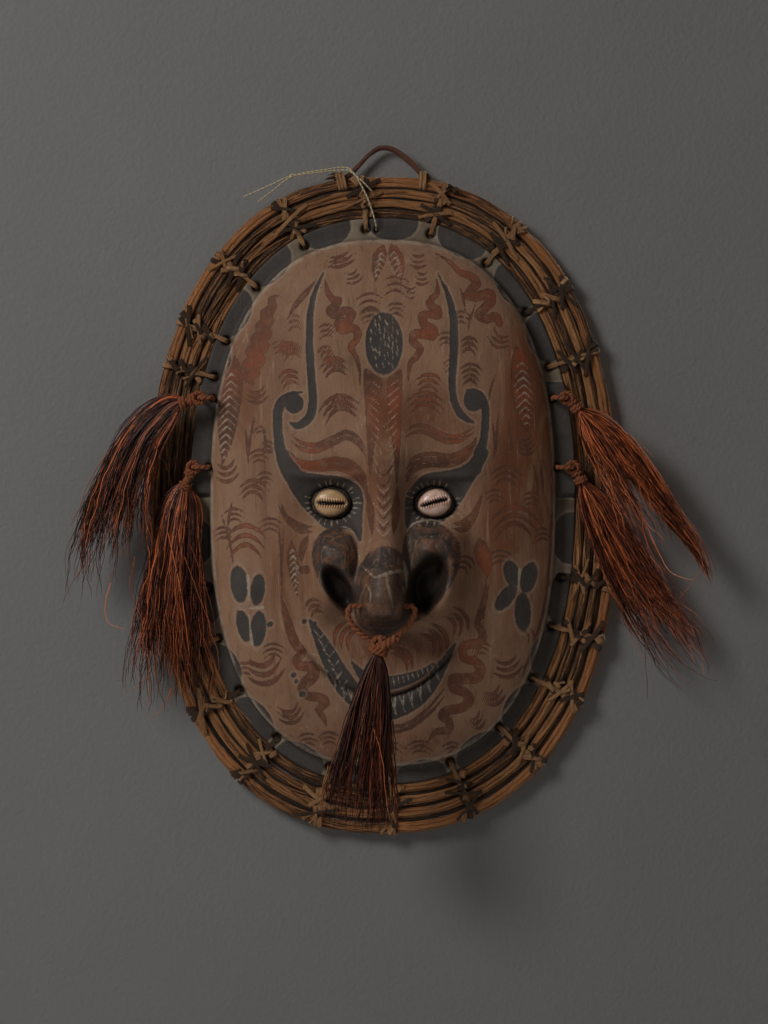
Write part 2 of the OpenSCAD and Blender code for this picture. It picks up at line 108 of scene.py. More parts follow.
class Shape:
    """Gathers vertices, faces and per-vertex values, then makes one piece of them."""

    def __init__(self):
        self.v, self.f, self.a, self.n = [], [], {}, 0

    def add(self, verts, faces, **values):
        verts = np.asarray(verts, float)
        self.v.append(verts)
        self.f.extend([[i + self.n for i in face] for face in faces])
        for k in set(self.a) | set(values):
            old = self.a.setdefault(k, [np.zeros(self.n)] if self.n else [])
            old.append(np.broadcast_to(np.asarray(values.get(k, 0.0), float), (len(verts),)))
        self.n += len(verts)

    def tube(self, path, radius, sides=6, closed=False, flat=1.0, **values):
        """A round or flattened tube along a path, with its ends closed."""
        path = np.asarray(path, float)
        n = len(path)
        r = np.broadcast_to(np.asarray(radius, float), (n,))
        _, a, b = frames(path, closed)
        w = 2 * np.pi * np.arange(sides) / sides
        ring = (np.cos(w)[None, :, None] * a[:, None]
                + flat * np.sin(w)[None, :, None] * b[:, None])
        verts = (path[:, None] + r[:, None, None] * ring).reshape(-1, 3)
        faces = []
        for i in range(n if closed else n - 1):
            j = (i + 1) % n
            for k in range(sides):
                m = (k + 1) % sides
                faces.append((i * sides + k, i * sides + m, j * sides + m, j * sides + k))
        if not closed:
            faces.append(tuple(range(sides))[::-1])
            faces.append(tuple((n - 1) * sides + k for k in range(sides)))
        s = distance(path)
        given = {k: (np.repeat(v, sides) if np.ndim(v) else v) for k, v in values.items()}
        # up is how squarely each point faces the front or the back; the cane materials paint shade
        # where it is low
        self.add(verts, faces, along=np.repeat(s, sides), around=np.tile(w, n),
                 up=np.abs(ring[..., 1]).ravel(), **given)

    def ribbon(self, path, across, width, thick, closed=False, **values):
        """A flat strip along a path: across is the way its width lies."""
        path = np.asarray(path, float)
        n = len(path)
        t, _, _ = frames(path, closed)
        across = np.broadcast_to(np.asarray(across, float), (n, 3))
        up = np.cross(t, across)
        up /= np.linalg.norm(up, axis=1)[:, None] + 1e-12
        side = np.cross(up, t)
        w = np.broadcast_to(np.asarray(width, float), (n,))[:, None] / 2
        h = thick / 2
        corners = [(-1, -0.55), (-0.86, -1), (0.86, -1), (1, -0.55), (1, 0.45), (0.8, 1), (0, 1.25),
            (-0.8, 1), (-1, 0.45)]
        verts = np.stack([path + side * w * c + up * h * e for c, e in corners], 1).reshape(-1, 3)
        m = len(corners)
        faces = []
        for i in range(n if closed else n - 1):
            j = (i + 1) % n
            for k in range(m):
                q = (k + 1) % m
                faces.append((i * m + k, j * m + k, j * m + q, i * m + q))
        if not closed:
            faces.append(tuple(range(m)))
            faces.append(tuple((n - 1) * m + k for k in range(m))[::-1])
        s = distance(path)
        # up is low along the strip's edges, where the cane materials paint shade
        self.add(verts, faces, along=np.repeat(s, m),
                 up=np.tile(np.array([abs(e) - 0.2 for _, e in corners]), n),
                 around=np.tile(np.array([c for c, _ in corners]), n), **values)

    def piece(self, name, body, material, nodes=None):
        """Makes the piece. It replaces the nodes given, or the node of its own name."""
        nodes = [name] if nodes is None else nodes
        name += "_fine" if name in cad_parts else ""
        verts = place(np.vstack(self.v))
        mesh = bpy.data.meshes.new(name)
        mesh.from_pydata(verts.tolist(), [], self.f)
        mesh.update()
        for k, v in self.a.items():
            made = mesh.attributes.new(k, "FLOAT", "POINT")
            made.data.foreach_set("value", np.concatenate(v).astype(np.float32))
        mesh.polygons.foreach_set("use_smooth", np.ones(len(mesh.polygons), bool))
        o = bpy.data.objects.new(name, mesh)
        bpy.context.scene.collection.objects.link(o)
        mesh.materials.append(material)
        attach(o, body)
        if nodes:
            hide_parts(*nodes)
        return o


def fuzz(t, seed, scale):
    """Smooth noise along a closed or open run, about -1 to 1."""
    rng = np.random.default_rng(seed)
    made = np.zeros_like(t, dtype=float)
    for k in range(1, 6):
        made += rng.normal() / k**0.6 * np.sin(t * k * scale + rng.uniform(0, 6.28))
    return made / 2


# ---------------------------------------------------------------- materials

class Nodes:
    """A short way to write shader nodes."""

    def __init__(self, name):
        self.m = bpy.data.materials.new(name)
        self.m.use_nodes = True
        self.t = self.m.node_tree
        self.out = self.t.nodes["Material Output"]
        self.bsdf = self.t.nodes["Principled BSDF"]
        self.coord = self.t.nodes.new("ShaderNodeTexCoord").outputs["Object"]

    def put(self, socket, value):
        if isinstance(value, bpy.types.NodeSocket):
            self.t.links.new(value, socket)
        elif isinstance(value, tuple) and len(value) == 3 and socket.type == "RGBA":
            socket.default_value = (*value, 1)
        else:
            socket.default_value = value

    def attr(self, name):
        n = self.t.nodes.new("ShaderNodeAttribute")
        n.attribute_name = name
        return n.outputs["Fac"]

    def noise(self, scale, detail, rough=0.55, vector=None, stretch=None, distort=0.0):
        n = self.t.nodes.new("ShaderNodeTexNoise")
        n.inputs["Scale"].default_value = scale
        n.inputs["Detail"].default_value = detail
        n.inputs["Roughness"].default_value = rough
        n.inputs["Distortion"].default_value = distort
        v = self.coord if vector is None else vector
        if stretch:
            v = self.mapping(v, stretch)
        self.t.links.new(v, n.inputs["Vector"])
        return n.outputs["Fac"]

    def cells(self, scale):
        """How far each point is from the nearest of many scattered ones."""
        n = self.t.nodes.new("ShaderNodeTexVoronoi")
        n.inputs["Scale"].default_value = scale
        self.t.links.new(self.coord, n.inputs["Vector"])
        return n.outputs["Distance"]

    def mapping(self, vector, scale):
        n = self.t.nodes.new("ShaderNodeMapping")
        n.inputs["Scale"].default_value = scale
        self.t.links.new(vector, n.inputs["Vector"])
        return n.outputs["Vector"]

    def vector(self, x, y, z):
        n = self.t.nodes.new("ShaderNodeCombineXYZ")
        for s, v in zip(n.inputs, (x, y, z)):
            self.put(s, v)
        return n.outputs["Vector"]

    def math(self, op, a, b=0.0):
        n = self.t.nodes.new("ShaderNodeMath")
        n.operation = op
        self.put(n.inputs[0], a)
        self.put(n.inputs[1], b)
        return n.outputs[0]

    def plus(self, a, b):
        return self.math("ADD", a, b)

    def minus(self, a, b):
        return self.math("SUBTRACT", a, b)

    def times(self, a, b):
        return self.math("MULTIPLY", a, b)

    def strand(self, along, around):
        """A place on a strand, in its own measures, that differs from strand to strand."""
        return self.vector(self.times(self.attr("along"), along),
                           self.times(self.attr("around"), around), self.attr("seed"))

    def step(self, value, low, high, to=(0.0, 1.0)):
        """A smooth step from the first of to, at low, to the second, at high."""
        n = self.t.nodes.new("ShaderNodeMapRange")
        n.interpolation_type = "SMOOTHSTEP"
        self.put(n.inputs["Value"], value)
        n.inputs["From Min"].default_value = low
        n.inputs["From Max"].default_value = high
        n.inputs["To Min"].default_value, n.inputs["To Max"].default_value = to
        return n.outputs["Result"]

    def mix(self, share, a, b):
        n = self.t.nodes.new("ShaderNodeMix")
        n.data_type = "RGBA"
        self.put(n.inputs["Factor"], share)
        self.put(n.inputs[6], a)
        self.put(n.inputs[7], b)
        return n.outputs[2]

    def ramp(self, value, stops):
        n = self.t.nodes.new("ShaderNodeValToRGB")
        while len(n.color_ramp.elements) < len(stops):
            n.color_ramp.elements.new(0.5)
        for e, (at, colour) in zip(n.color_ramp.elements, stops):
            e.position, e.color = at, (*colour, 1)
        self.t.links.new(value, n.inputs["Fac"])
        return n.outputs["Color"]

    def finish(self, colour, rough, height, depth, **fixed):
        """Joins it all to the shader. Depth is the bumps' own, in metres."""
        self.put(self.bsdf.inputs["Base Color"], colour)
        self.put(self.bsdf.inputs["Roughness"], rough)
        for k, v in fixed.items():
            self.bsdf.inputs[k.replace("_", " ")].default_value = v
        n = self.t.nodes.new("ShaderNodeBump")
        n.inputs["Strength"].default_value = 1.0
        n.inputs["Distance"].default_value = depth
        self.put(n.inputs["Height"], height)
        self.t.links.new(n.outputs["Normal"], self.bsdf.inputs["Normal"])
        return self.m


def painted_board():
    """Worn earth paint on carved wood. The board's own values say how far each point is, in
    millimetres, from the edge of each painted shape: below zero is inside it."""
    s = Nodes("painted_board")
    wobble = s.times(s.minus(s.noise(260, 3), 0.5), 1.5)
    ragged = s.times(s.minus(s.noise(900, 3, 0.7), 0.5), 1.3)
    shaky = s.plus(wobble, ragged)

    def inside(name, soft=0.35):
        return s.step(s.plus(s.attr(name), shaky), soft, -soft)

    grain = s.noise(60, 6, 0.62, stretch=(1, 1, 0.12), distort=0.4)
    patches = s.noise(14, 5, 0.6)
    fine = s.noise(420, 5, 0.65)
    dust = s.noise(70, 8, 0.75)
    ground = s.ramp(patches, [(0.28, (0.205, 0.110, 0.066)), (0.5, (0.285, 0.158, 0.095)),
                              (0.72, (0.345, 0.205, 0.130))])
    ground = s.mix(s.step(grain, 0.45, 0.75, (0, 0.5)), ground, (0.185, 0.094, 0.054))
    ground = s.mix(s.step(dust, 0.5, 0.8, (0, 0.35)), ground, (0.40, 0.275, 0.19))
    smoke = s.step(s.noise(7, 4, 0.55), 0.50, 0.68, (0, 0.5))
    ground = s.mix(smoke, ground, (0.150, 0.076, 0.042))
    streaks = s.noise(38, 6, 0.7, stretch=(1, 1, 0.22), distort=0.8)
    rust = s.times(s.attr("rust"), s.step(streaks, 0.36, 0.56, (0.15, 0.95)))
    ground = s.mix(rust, ground, (0.165, 0.058, 0.026))
    scores = s.noise(230, 4, 0.65, stretch=(1, 1, 0.045), distort=0.5)
    ground = s.mix(s.step(scores, 0.58, 0.66, (0, 0.42)), ground, (0.125, 0.062, 0.034))
    ground = s.mix(s.step(scores, 0.40, 0.33, (0, 0.35)), ground, (0.42, 0.29, 0.20))
    flange = s.ramp(s.noise(26, 6, 0.65),
                    [(0.3, (0.110, 0.080, 0.056)), (0.52, (0.19, 0.143, 0.100)),
                     (0.7, (0.26, 0.203, 0.148))])
    colour = s.mix(s.step(s.attr("flange"), 0.3, 0.7), ground, flange)

    red = s.ramp(s.noise(22, 4, 0.6),
                 [(0.34, (0.085, 0.038, 0.024)), (0.5, (0.145, 0.053, 0.029)),
                  (0.64, (0.25, 0.068, 0.030))])
    thin = s.step(s.noise(190, 5, 0.7), 0.30, 0.55, (0.40, 0.93))
    colour = s.mix(s.times(inside("red", 0.28), thin), colour, red)
    rimline = s.step(s.math("ABSOLUTE", s.plus(s.attr("red"), s.plus(shaky, 0.25))), 0.40, 0.12,
                     (0, 0.72))
    colour = s.mix(rimline, colour, (0.10, 0.052, 0.036))
    pale = s.times(inside("white", 0.4), s.step(s.noise(330, 4, 0.7), 0.34, 0.5, (0.15, 0.85)))
    halo = s.step(s.math("ABSOLUTE", s.minus(s.plus(s.attr("black"), shaky), 0.9)),
                  1.1, 0.2, (0, 0.22))
    colour = s.mix(halo, colour, (0.42, 0.33, 0.26))
    black = s.ramp(s.noise(40, 6, 0.7),
                   [(0.3, (0.046, 0.038, 0.034)), (0.62, (0.070, 0.059, 0.052)),
                    (0.85, (0.115, 0.096, 0.083))])
    worn = s.step(s.noise(120, 6, 0.75), 0.22, 0.36, (0.55, 1.0))
    colour = s.mix(s.times(inside("black"), worn), colour, black)
    snout = s.ramp(s.noise(55, 7, 0.75, distort=1.2),
                   [(0.36, (0.030, 0.024, 0.023)), (0.49, (0.066, 0.048, 0.041)),
                    (0.56, (0.14, 0.064, 0.038)), (0.68, (0.31, 0.18, 0.11))])
    scratch = s.step(s.noise(150, 5, 0.75, stretch=(1, 1, 0.16), distort=1.5), 0.57, 0.64, (0, 0.6))
    snout = s.mix(scratch, snout, (0.30, 0.20, 0.13))
    colour = s.mix(inside("snout", 0.7), colour, snout)
    colour = s.mix(pale, colour, (0.39, 0.31, 0.235))
    wear = s.times(s.attr("wear"), s.step(s.noise(90, 6, 0.7), 0.35, 0.6))
    colour = s.mix(s.times(wear, 0.75), colour, (0.14, 0.075, 0.042))
    edge = s.times(s.attr("edge"), s.step(s.noise(130, 4, 0.7), 0.35, 0.6, (0.1, 0.8)))
    colour = s.mix(edge, colour, (0.46, 0.37, 0.285))
    # painted shade: near black in the board's hollows, holes and slits
    colour = s.mix(s.times(s.attr("grime"), 0.9), colour, (0.022, 0.016, 0.013))
    chips = s.step(s.cells(210), 0.10, 0.05)
    chips = s.times(chips, s.step(s.noise(30, 3), 0.60, 0.68))
    colour = s.mix(s.times(chips, 0.85), colour, (0.05, 0.033, 0.025))
    specks = s.times(s.step(s.cells(330), 0.085, 0.05), s.step(s.noise(50, 3), 0.60, 0.66))
    colour = s.mix(specks, colour, (0.70, 0.66, 0.58))
    back = s.ramp(s.noise(30, 7, 0.65, stretch=(1, 1, 0.10), distort=0.6),
                  [(0.3, (0.095, 0.055, 0.034)), (0.55, (0.20, 0.125, 0.078)),
                   (0.8, (0.31, 0.215, 0.14))])
    colour = s.mix(s.step(s.attr("back"), 0.3, 0.7), colour, back)
    rough = s.minus(s.step(fine, 0.3, 0.7, (0.60, 0.80)),
                   s.times(inside("snout", 0.7), 0.25))
    height = s.plus(s.times(fine, 0.35), s.times(grain, 0.7))
    height = s.plus(height, s.times(dust, 0.35))
    height = s.minus(height, s.times(chips, 0.9))
    height = s.plus(height, s.times(s.plus(inside("red", 0.6), inside("black", 0.6)), 0.12))
    return s.finish(colour, rough, height, 0.0011, Specular_IOR_Level=0.24)


def cane(name, pale, mid, deep, black, patchy, gloss=0.42, bias=0.13):
    """Split cane: long fibres, stained patches (more where patchy is low), pale cut ends, and
    painted shade where the surface turns sideways.
    """
    s = Nodes(name)
    v = s.vector(s.times(s.attr("along"), 0.006), s.attr("around"), s.attr("seed"))
    streak = s.noise(9.0, 7, 0.74, vector=s.strand(0.009, 2.0))
    stain = s.noise(3.6, 6, 0.7, vector=s.strand(0.014, 0.85))
    fine = s.noise(30, 4, 0.7, vector=v)
    tone = s.noise(1.7, 1, vector=s.vector(s.attr("seed"), s.times(s.attr("along"), 0.004), 0.3))
    colour = s.ramp(streak, [(0.28, deep), (0.43, mid), (0.585, pale)])
    colour = s.mix(s.step(tone, 0.35, 0.65, (0.55, 0.0)), colour, mid)
    colour = s.mix(s.step(fine, 0.52, 0.72, (0, 0.6)), colour, deep)
    dark = s.step(s.plus(stain, s.times(s.attr("stain"), bias)), patchy, patchy + 0.045)
    colour = s.mix(s.times(dark, s.step(fine, 0.62, 0.42, (0.72, 0.97))), colour, black)
    colour = s.mix(s.times(s.attr("cut"), 0.8), colour, (0.62, 0.43, 0.25))
    # painted shade: near black where the surface turns sideways, as between the canes and along a
    # strip's edges
    colour = s.mix(s.step(s.plus(s.attr("up"), s.times(streak, 0.35)), 0.75, 0.2, (0, 0.95)),
                   colour, (0.010, 0.006, 0.005))
    height = s.plus(s.times(streak, 1.3), s.times(fine, 0.6))
    rough = s.step(streak, 0.3, 0.7, (gloss + 0.18, gloss - 0.08))
    return s.finish(colour, rough, height, 0.0014, Specular_IOR_Level=0.34)


def fibre(name, pale, mid, deep, rough):
    """Dry fibre, each with its own tone and a little change along it."""
    s = Nodes(name)
    tone = s.plus(s.times(s.attr("seed"), 0.75),
                  s.times(s.noise(90, 4, 0.6), 0.35))
    colour = s.ramp(tone, [(0.15, deep), (0.5, mid), (0.92, pale)])
    height = s.noise(2200, 3, 0.6)
    return s.finish(colour, rough, height, 0.0002, Specular_IOR_Level=0.32)


def cord_stuff(name, pale, mid, deep, lay=0.0):
    """Twisted fibre. Lay is the turns of ply in a millimetre, where the mesh doesn't have them; the
    grooves between them are painted shade.
    """
    s = Nodes(name)
    hair = s.noise(14, 5, 0.7, vector=s.strand(0.12, 0.9))
    colour = s.ramp(hair, [(0.28, deep), (0.5, mid), (0.74, pale)])
    if lay:
        turn = s.plus(s.times(s.attr("along"), 6.28 * lay), s.times(s.attr("around"), 2.0))
        ply = s.math("ABSOLUTE", s.math("SINE", s.times(turn, 0.5)))
        # painted shade in the grooves between the plies
        colour = s.mix(s.step(ply, 0.5, 0.1, (0, 0.6)), colour, deep)
        hair = s.plus(hair, ply)
    return s.finish(colour, 0.68, hair, 0.0006, Specular_IOR_Level=0.35)


def shell_stuff(name, dome, rim):
    """A cowrie's porcelain gloss, with its toothed slit and stained edges."""
    s = Nodes(name)
    cloud = s.noise(210, 6, 0.7, distort=0.8)
    colour = s.mix(s.step(cloud, 0.42, 0.66, (0, 0.75)), dome, rim)
    colour = s.mix(s.times(s.attr("rim"), 0.85), colour, (0.20, 0.10, 0.05))
    colour = s.mix(s.step(s.attr("teeth"), 0.25, 0.7, (0, 0.85)), colour, (0.16, 0.075, 0.035))
    colour = s.mix(s.step(s.attr("slit"), 0.45, 0.75), colour, (0.012, 0.008, 0.006))
    return s.finish(colour, s.step(cloud, 0.4, 0.7, (0.24, 0.42)), s.noise(700, 3), 0.0002,
                    Specular_IOR_Level=0.55, Coat_Weight=0.25, Coat_Roughness=0.2)


def gum_stuff():
    """Lumpy blackened gum."""
    s = Nodes("tree_gum")
    lumps = s.noise(260, 6, 0.7)
    colour = s.ramp(lumps, [(0.35, (0.032, 0.026, 0.023)), (0.6, (0.070, 0.056, 0.048)),
                            (0.8, (0.14, 0.105, 0.08))])
    return s.finish(colour, s.step(lumps, 0.3, 0.7, (0.75, 0.5)), lumps, 0.002,
                    Specular_IOR_Level=0.4)


BOARD_PAINT = painted_board()
TAN = cane("tan_cane", (0.98, 0.50, 0.205), (0.40, 0.155, 0.054), (0.050, 0.018, 0.009),
           (0.016, 0.011, 0.010), 0.56)
BARK = cane("bark_cane", (0.95, 0.44, 0.165), (0.38, 0.136, 0.048), (0.045, 0.016, 0.008),
            (0.018, 0.012, 0.010), 0.60)
BLACKENED = cane("blackened_cane", (0.15, 0.075, 0.04), (0.055, 0.030, 0.02), (0.022, 0.013, 0.010),
                 (0.014, 0.011, 0.010), 0.50, 0.6)
STRIP = cane("cane_strip", (0.95, 0.56, 0.26), (0.34, 0.145, 0.058), (0.070, 0.029, 0.015),
             (0.018, 0.013, 0.012), 0.56, 0.4, 0.5)
LOOP = cane("loop_cane", (0.30, 0.13, 0.075), (0.16, 0.065, 0.042), (0.07, 0.030, 0.022),
            (0.035, 0.018, 0.014), 0.64)
FIBRE = fibre("tassel_fibre", (0.86, 0.235, 0.072), (0.145, 0.031, 0.013), (0.012, 0.004, 0.003),
              0.42)
CORD = cord_stuff("fibre_cord", (0.50, 0.185, 0.068), (0.29, 0.088, 0.034), (0.055, 0.018, 0.010))
TWINE = cord_stuff("pale_twine", (0.80, 0.70, 0.50), (0.66, 0.54, 0.35), (0.40, 0.30, 0.18), 0.3)
GUM = gum_stuff()
COWRIE_YELLOW = shell_stuff("cowrie_cream", (0.66, 0.43, 0.23), (0.44, 0.22, 0.09))
COWRIE_PINK = shell_stuff("cowrie_pink", (0.80, 0.56, 0.46), (0.54, 0.24, 0.16))

# ---------------------------------------------------------------- camera

VIEW_HEIGHT = 0.778  # metres of wall seen, from the frame's bottom to its top
STAND_OFF = 2.2
data = bpy.data.cameras.new("camera")
data.sensor_fit, data.sensor_height = "VERTICAL", 36
data.lens = 36 * (STAND_OFF - 0.012) / VIEW_HEIGHT
camera = bpy.data.objects.new("camera", data)
camera.location = (0.0008, -STAND_OFF, -0.0068 - HANG_DROP / 1000)
camera.rotation_euler = (math.pi / 2, 0, 0)
bpy.context.scene.collection.objects.link(camera)
bpy.context.scene.camera = camera


# ---------------------------------------------------------------- the two loose strings

def twisted(shape, path, radius, pitch, seed, plies=2, per=1.2, sides=6, closed=False, hairy=0.0,
            swell=None):
    """Plies wound round a path, each with its own shade."""
    path = np.asarray(path, float)
    if closed:
        path = np.vstack([path, path[:1]])
    length = np.linalg.norm(np.diff(path, axis=0), axis=1).sum()
    n = max(8, int(length / per))
    p, s = resample(path, n + 1)
    if closed:
        p, s = p[:-1], s[:-1]
        pitch = length / round(length / pitch)
    _, a, b = frames(p, closed)
    if closed:  # spread the leftover turn of the frame along the loop
        t = p[0] - p[-1]
        t /= np.linalg.norm(t)
        off = math.atan2(np.dot(a[-1], b[0]), np.dot(a[-1], a[0]))
    else:
        off = 0.0
    grow = 1.0 if swell is None else np.interp(s / length, np.linspace(0, 1, len(swell)), swell)
    for k in range(plies):
        w = 2 * np.pi * (s / pitch + k / plies) - off * s / length
        r = radius * (0.60 if plies == 2 else 0.52) * grow
        lift = radius * (0.46 if plies == 2 else 0.52) * grow
        q = p + (lift * np.cos(w))[:, None] * a + (lift * np.sin(w))[:, None] * b
        shape.tube(q, r * (1 + 0.06 * fuzz(s, seed + k, 0.9)), sides, closed, seed=seed + 3.7 * k)
    if hairy:
        rng = np.random.default_rng(seed)
        for _ in range(int(length * hairy)):
            i = rng.integers(1, len(p) - 2)
            way = rng.normal(size=3)
            out = way / np.linalg.norm(way)
            start = p[i] + out * radius * 0.8
            mid = start + (out + rng.normal(size=3) * 0.4) * rng.uniform(0.5, 1.6)
            end = mid + (out + rng.normal(size=3) * 0.7) * rng.uniform(0.5, 1.8)
            shape.tube(spline([start, mid, end], 3), np.linspace(0.13, 0.04, 7), 3, seed=seed)


STRING_LONG = [(-5, 7, 207.5), (-5, 12, 208), (-6, 16.5, 214), (-12, 17.5, 232), (-22, 15, 250),
    (-29, 12, 255), (-45, 13, 253), (-69, 14, 248.5), (-86, 15, 241), (-106, 16, 232)]
STRING_SHORT = [(-8, 16.6, 236), (-15, 18.8, 243), (-25, 16.4, 251.5), (-32, 14, 252.6),
    (-47, 14.6, 251), (-69, 15.8, 247.4), (-82, 16.6, 238), (-95, 17.6, 228)]


def string(name, points, seed):
    """One length of the pale string: a plain tube, as thick as its cord says."""
    path, _ = resample(spline(points, 6), 150)
    shape = Shape()
    shape.tube(path, 0.6, 8, seed=seed)
    o = shape.piece(name, "mask", TWINE)


string("string_long", STRING_LONG, 11)
string("string_short", STRING_SHORT, 12)
knot = Shape()
for k, (tilt, r) in enumerate([(0.4, 1.5), (-0.7, 1.6), (1.3, 1.3)]):
    w = np.linspace(0, 2 * np.pi, 25)[:-1]
    ring = np.column_stack([r * np.cos(w) * math.cos(tilt), r * 0.8 * np.sin(w),
                            r * np.cos(w) * math.sin(tilt)])
    knot.tube(np.array([-69, 15, 248]) + ring, 0.72, 6, closed=True, seed=13 + k)
knot.piece("string_knot", "mask", TWINE)


# ---------------------------------------------------------------- the face's shape

def bump(x, z, cx, cz, rx, rz, px=2.0, pz=2.0):
    """A smooth hump about (cx, cz), 1 at its top. A higher power makes it flatter and steeper."""
    return np.exp(-(np.abs(x - cx) / rx) ** px - (np.abs(z - cz) / rz) ** pz)


def dome(x, z):
    """The face's crown without its features."""
    q = (np.abs(x) / FACE[0]) ** FACE[2] + (np.abs(z) / FACE[1]) ** FACE[2]
    return 20 + 32 * np.clip(1 - q, 0, None) ** 0.6


def nose(x, z):
    """The long nose: its rise and width, from its tip up to the forehead."""
    tall = 54 * np.interp(z, [-97, -94.5, -92, -88, -82, -69, -55, -40, -20, 0, 30, 60, 85],
        [0, 0.08, 0.4, 0.72, 0.93, 1, 0.9, 0.66, 0.42, 0.28, 0.2, 0.1, 0])
    wide = np.interp(z, [-97, -85, -69, -50, -20, 0, 40], [17, 19.5, 20.5, 17, 14, 13, 16])
    return tall * np.exp(-0.7 * (np.abs(x - 1) / wide) ** 2.6)


def wings(x, z):
    """The nostril wings: round bosses, each with a deep oval pit that opens down and forward."""
    left = 27 * bump(x, z, -35, -53, 19, 31, 3, 4)
    right = 30 * bump(x, z, 39, -52, 21, 34, 3, 4)
    return np.maximum(left, right)


def pit(x, z, cx, cz, rx, rz, turn):
    """A steep oval pit, 1 at its floor."""
    c, s = math.cos(turn), math.sin(turn)
    u, v = (x - cx) * c + (z - cz) * s, -(x - cx) * s + (z - cz) * c
    r = np.sqrt((u / rx) ** 2 + (v / rz) ** 2)
    return 1 / (1 + (r / 0.92) ** 7)


def nostrils(x, z):
    left = 20 * pit(x, z, -32.5, -63, 8.0, 17.5, 0.52)
    right = 27 * pit(x, z, 33.0, -60, 12.0, 22.0, -0.42)
    return left + right


def mouth(x, z):
    """A carved smile: the lips part along a curve."""
    x0 = np.clip((x + 2) / 60, -0.92, 1)
    curve = -144 + 39 * np.abs(x0) ** 2.1
    fade = np.clip(1 - np.abs(x0) ** 6, 0, 1) * (np.abs(x + 2) < 60)
    below = np.exp(-((z - curve + 1) / 2.2) ** 2)
    lips = np.exp(-((z - curve - 6) / 6) ** 2) + 0.8 * np.exp(-((z - curve + 9) / 7) ** 2)
    return fade * (2.2 * lips - 4.2 * below)


def depth_at(x, z):
    """The front surface of the raised face."""
    brow = 9 * np.exp(-((z - 36) / 17) ** 2) * np.exp(-(np.abs(x) / 78) ** 4)
    hood = 3.2 * np.exp(-((z - 19 - 0.0025 * (np.abs(x) - 40) ** 2) / 3.5) ** 2)
    hood = hood * np.exp(-((np.abs(x) - 40) / 27) ** 4)
    socket = 9 * np.exp(-((np.abs(x) - 40) / 24) ** 2 - ((z - 1) / 15) ** 2)
    cheek = 2.5 * np.exp(-((np.abs(x) - 80) / 26) ** 2 - ((z + 40) / 45) ** 2)
    crease = -3.0 * np.exp(-((np.abs(x - 2) - 60 - 0.05 * (z + 60)) / 3.0) ** 2)
    crease = crease * np.exp(-((z + 62) / 30) ** 4)
    adze = 0.35 * np.sin(x / 9 + 1.7 * np.sin(z / 23)) * np.sin(z / 11 + 2 * np.sin(x / 31))
    rise = np.maximum(nose(x, z), wings(x, z))
    soft = np.minimum(nose(x, z), wings(x, z))
    rise = rise + 0.25 * soft * np.exp(-np.abs(nose(x, z) - wings(x, z)) / 6)
    return dome(x, z) + brow + hood - socket + cheek + crease + adze + rise - nostrils(x,
            z) + mouth(x, z)


# ---------------------------------------------------------------- the painting

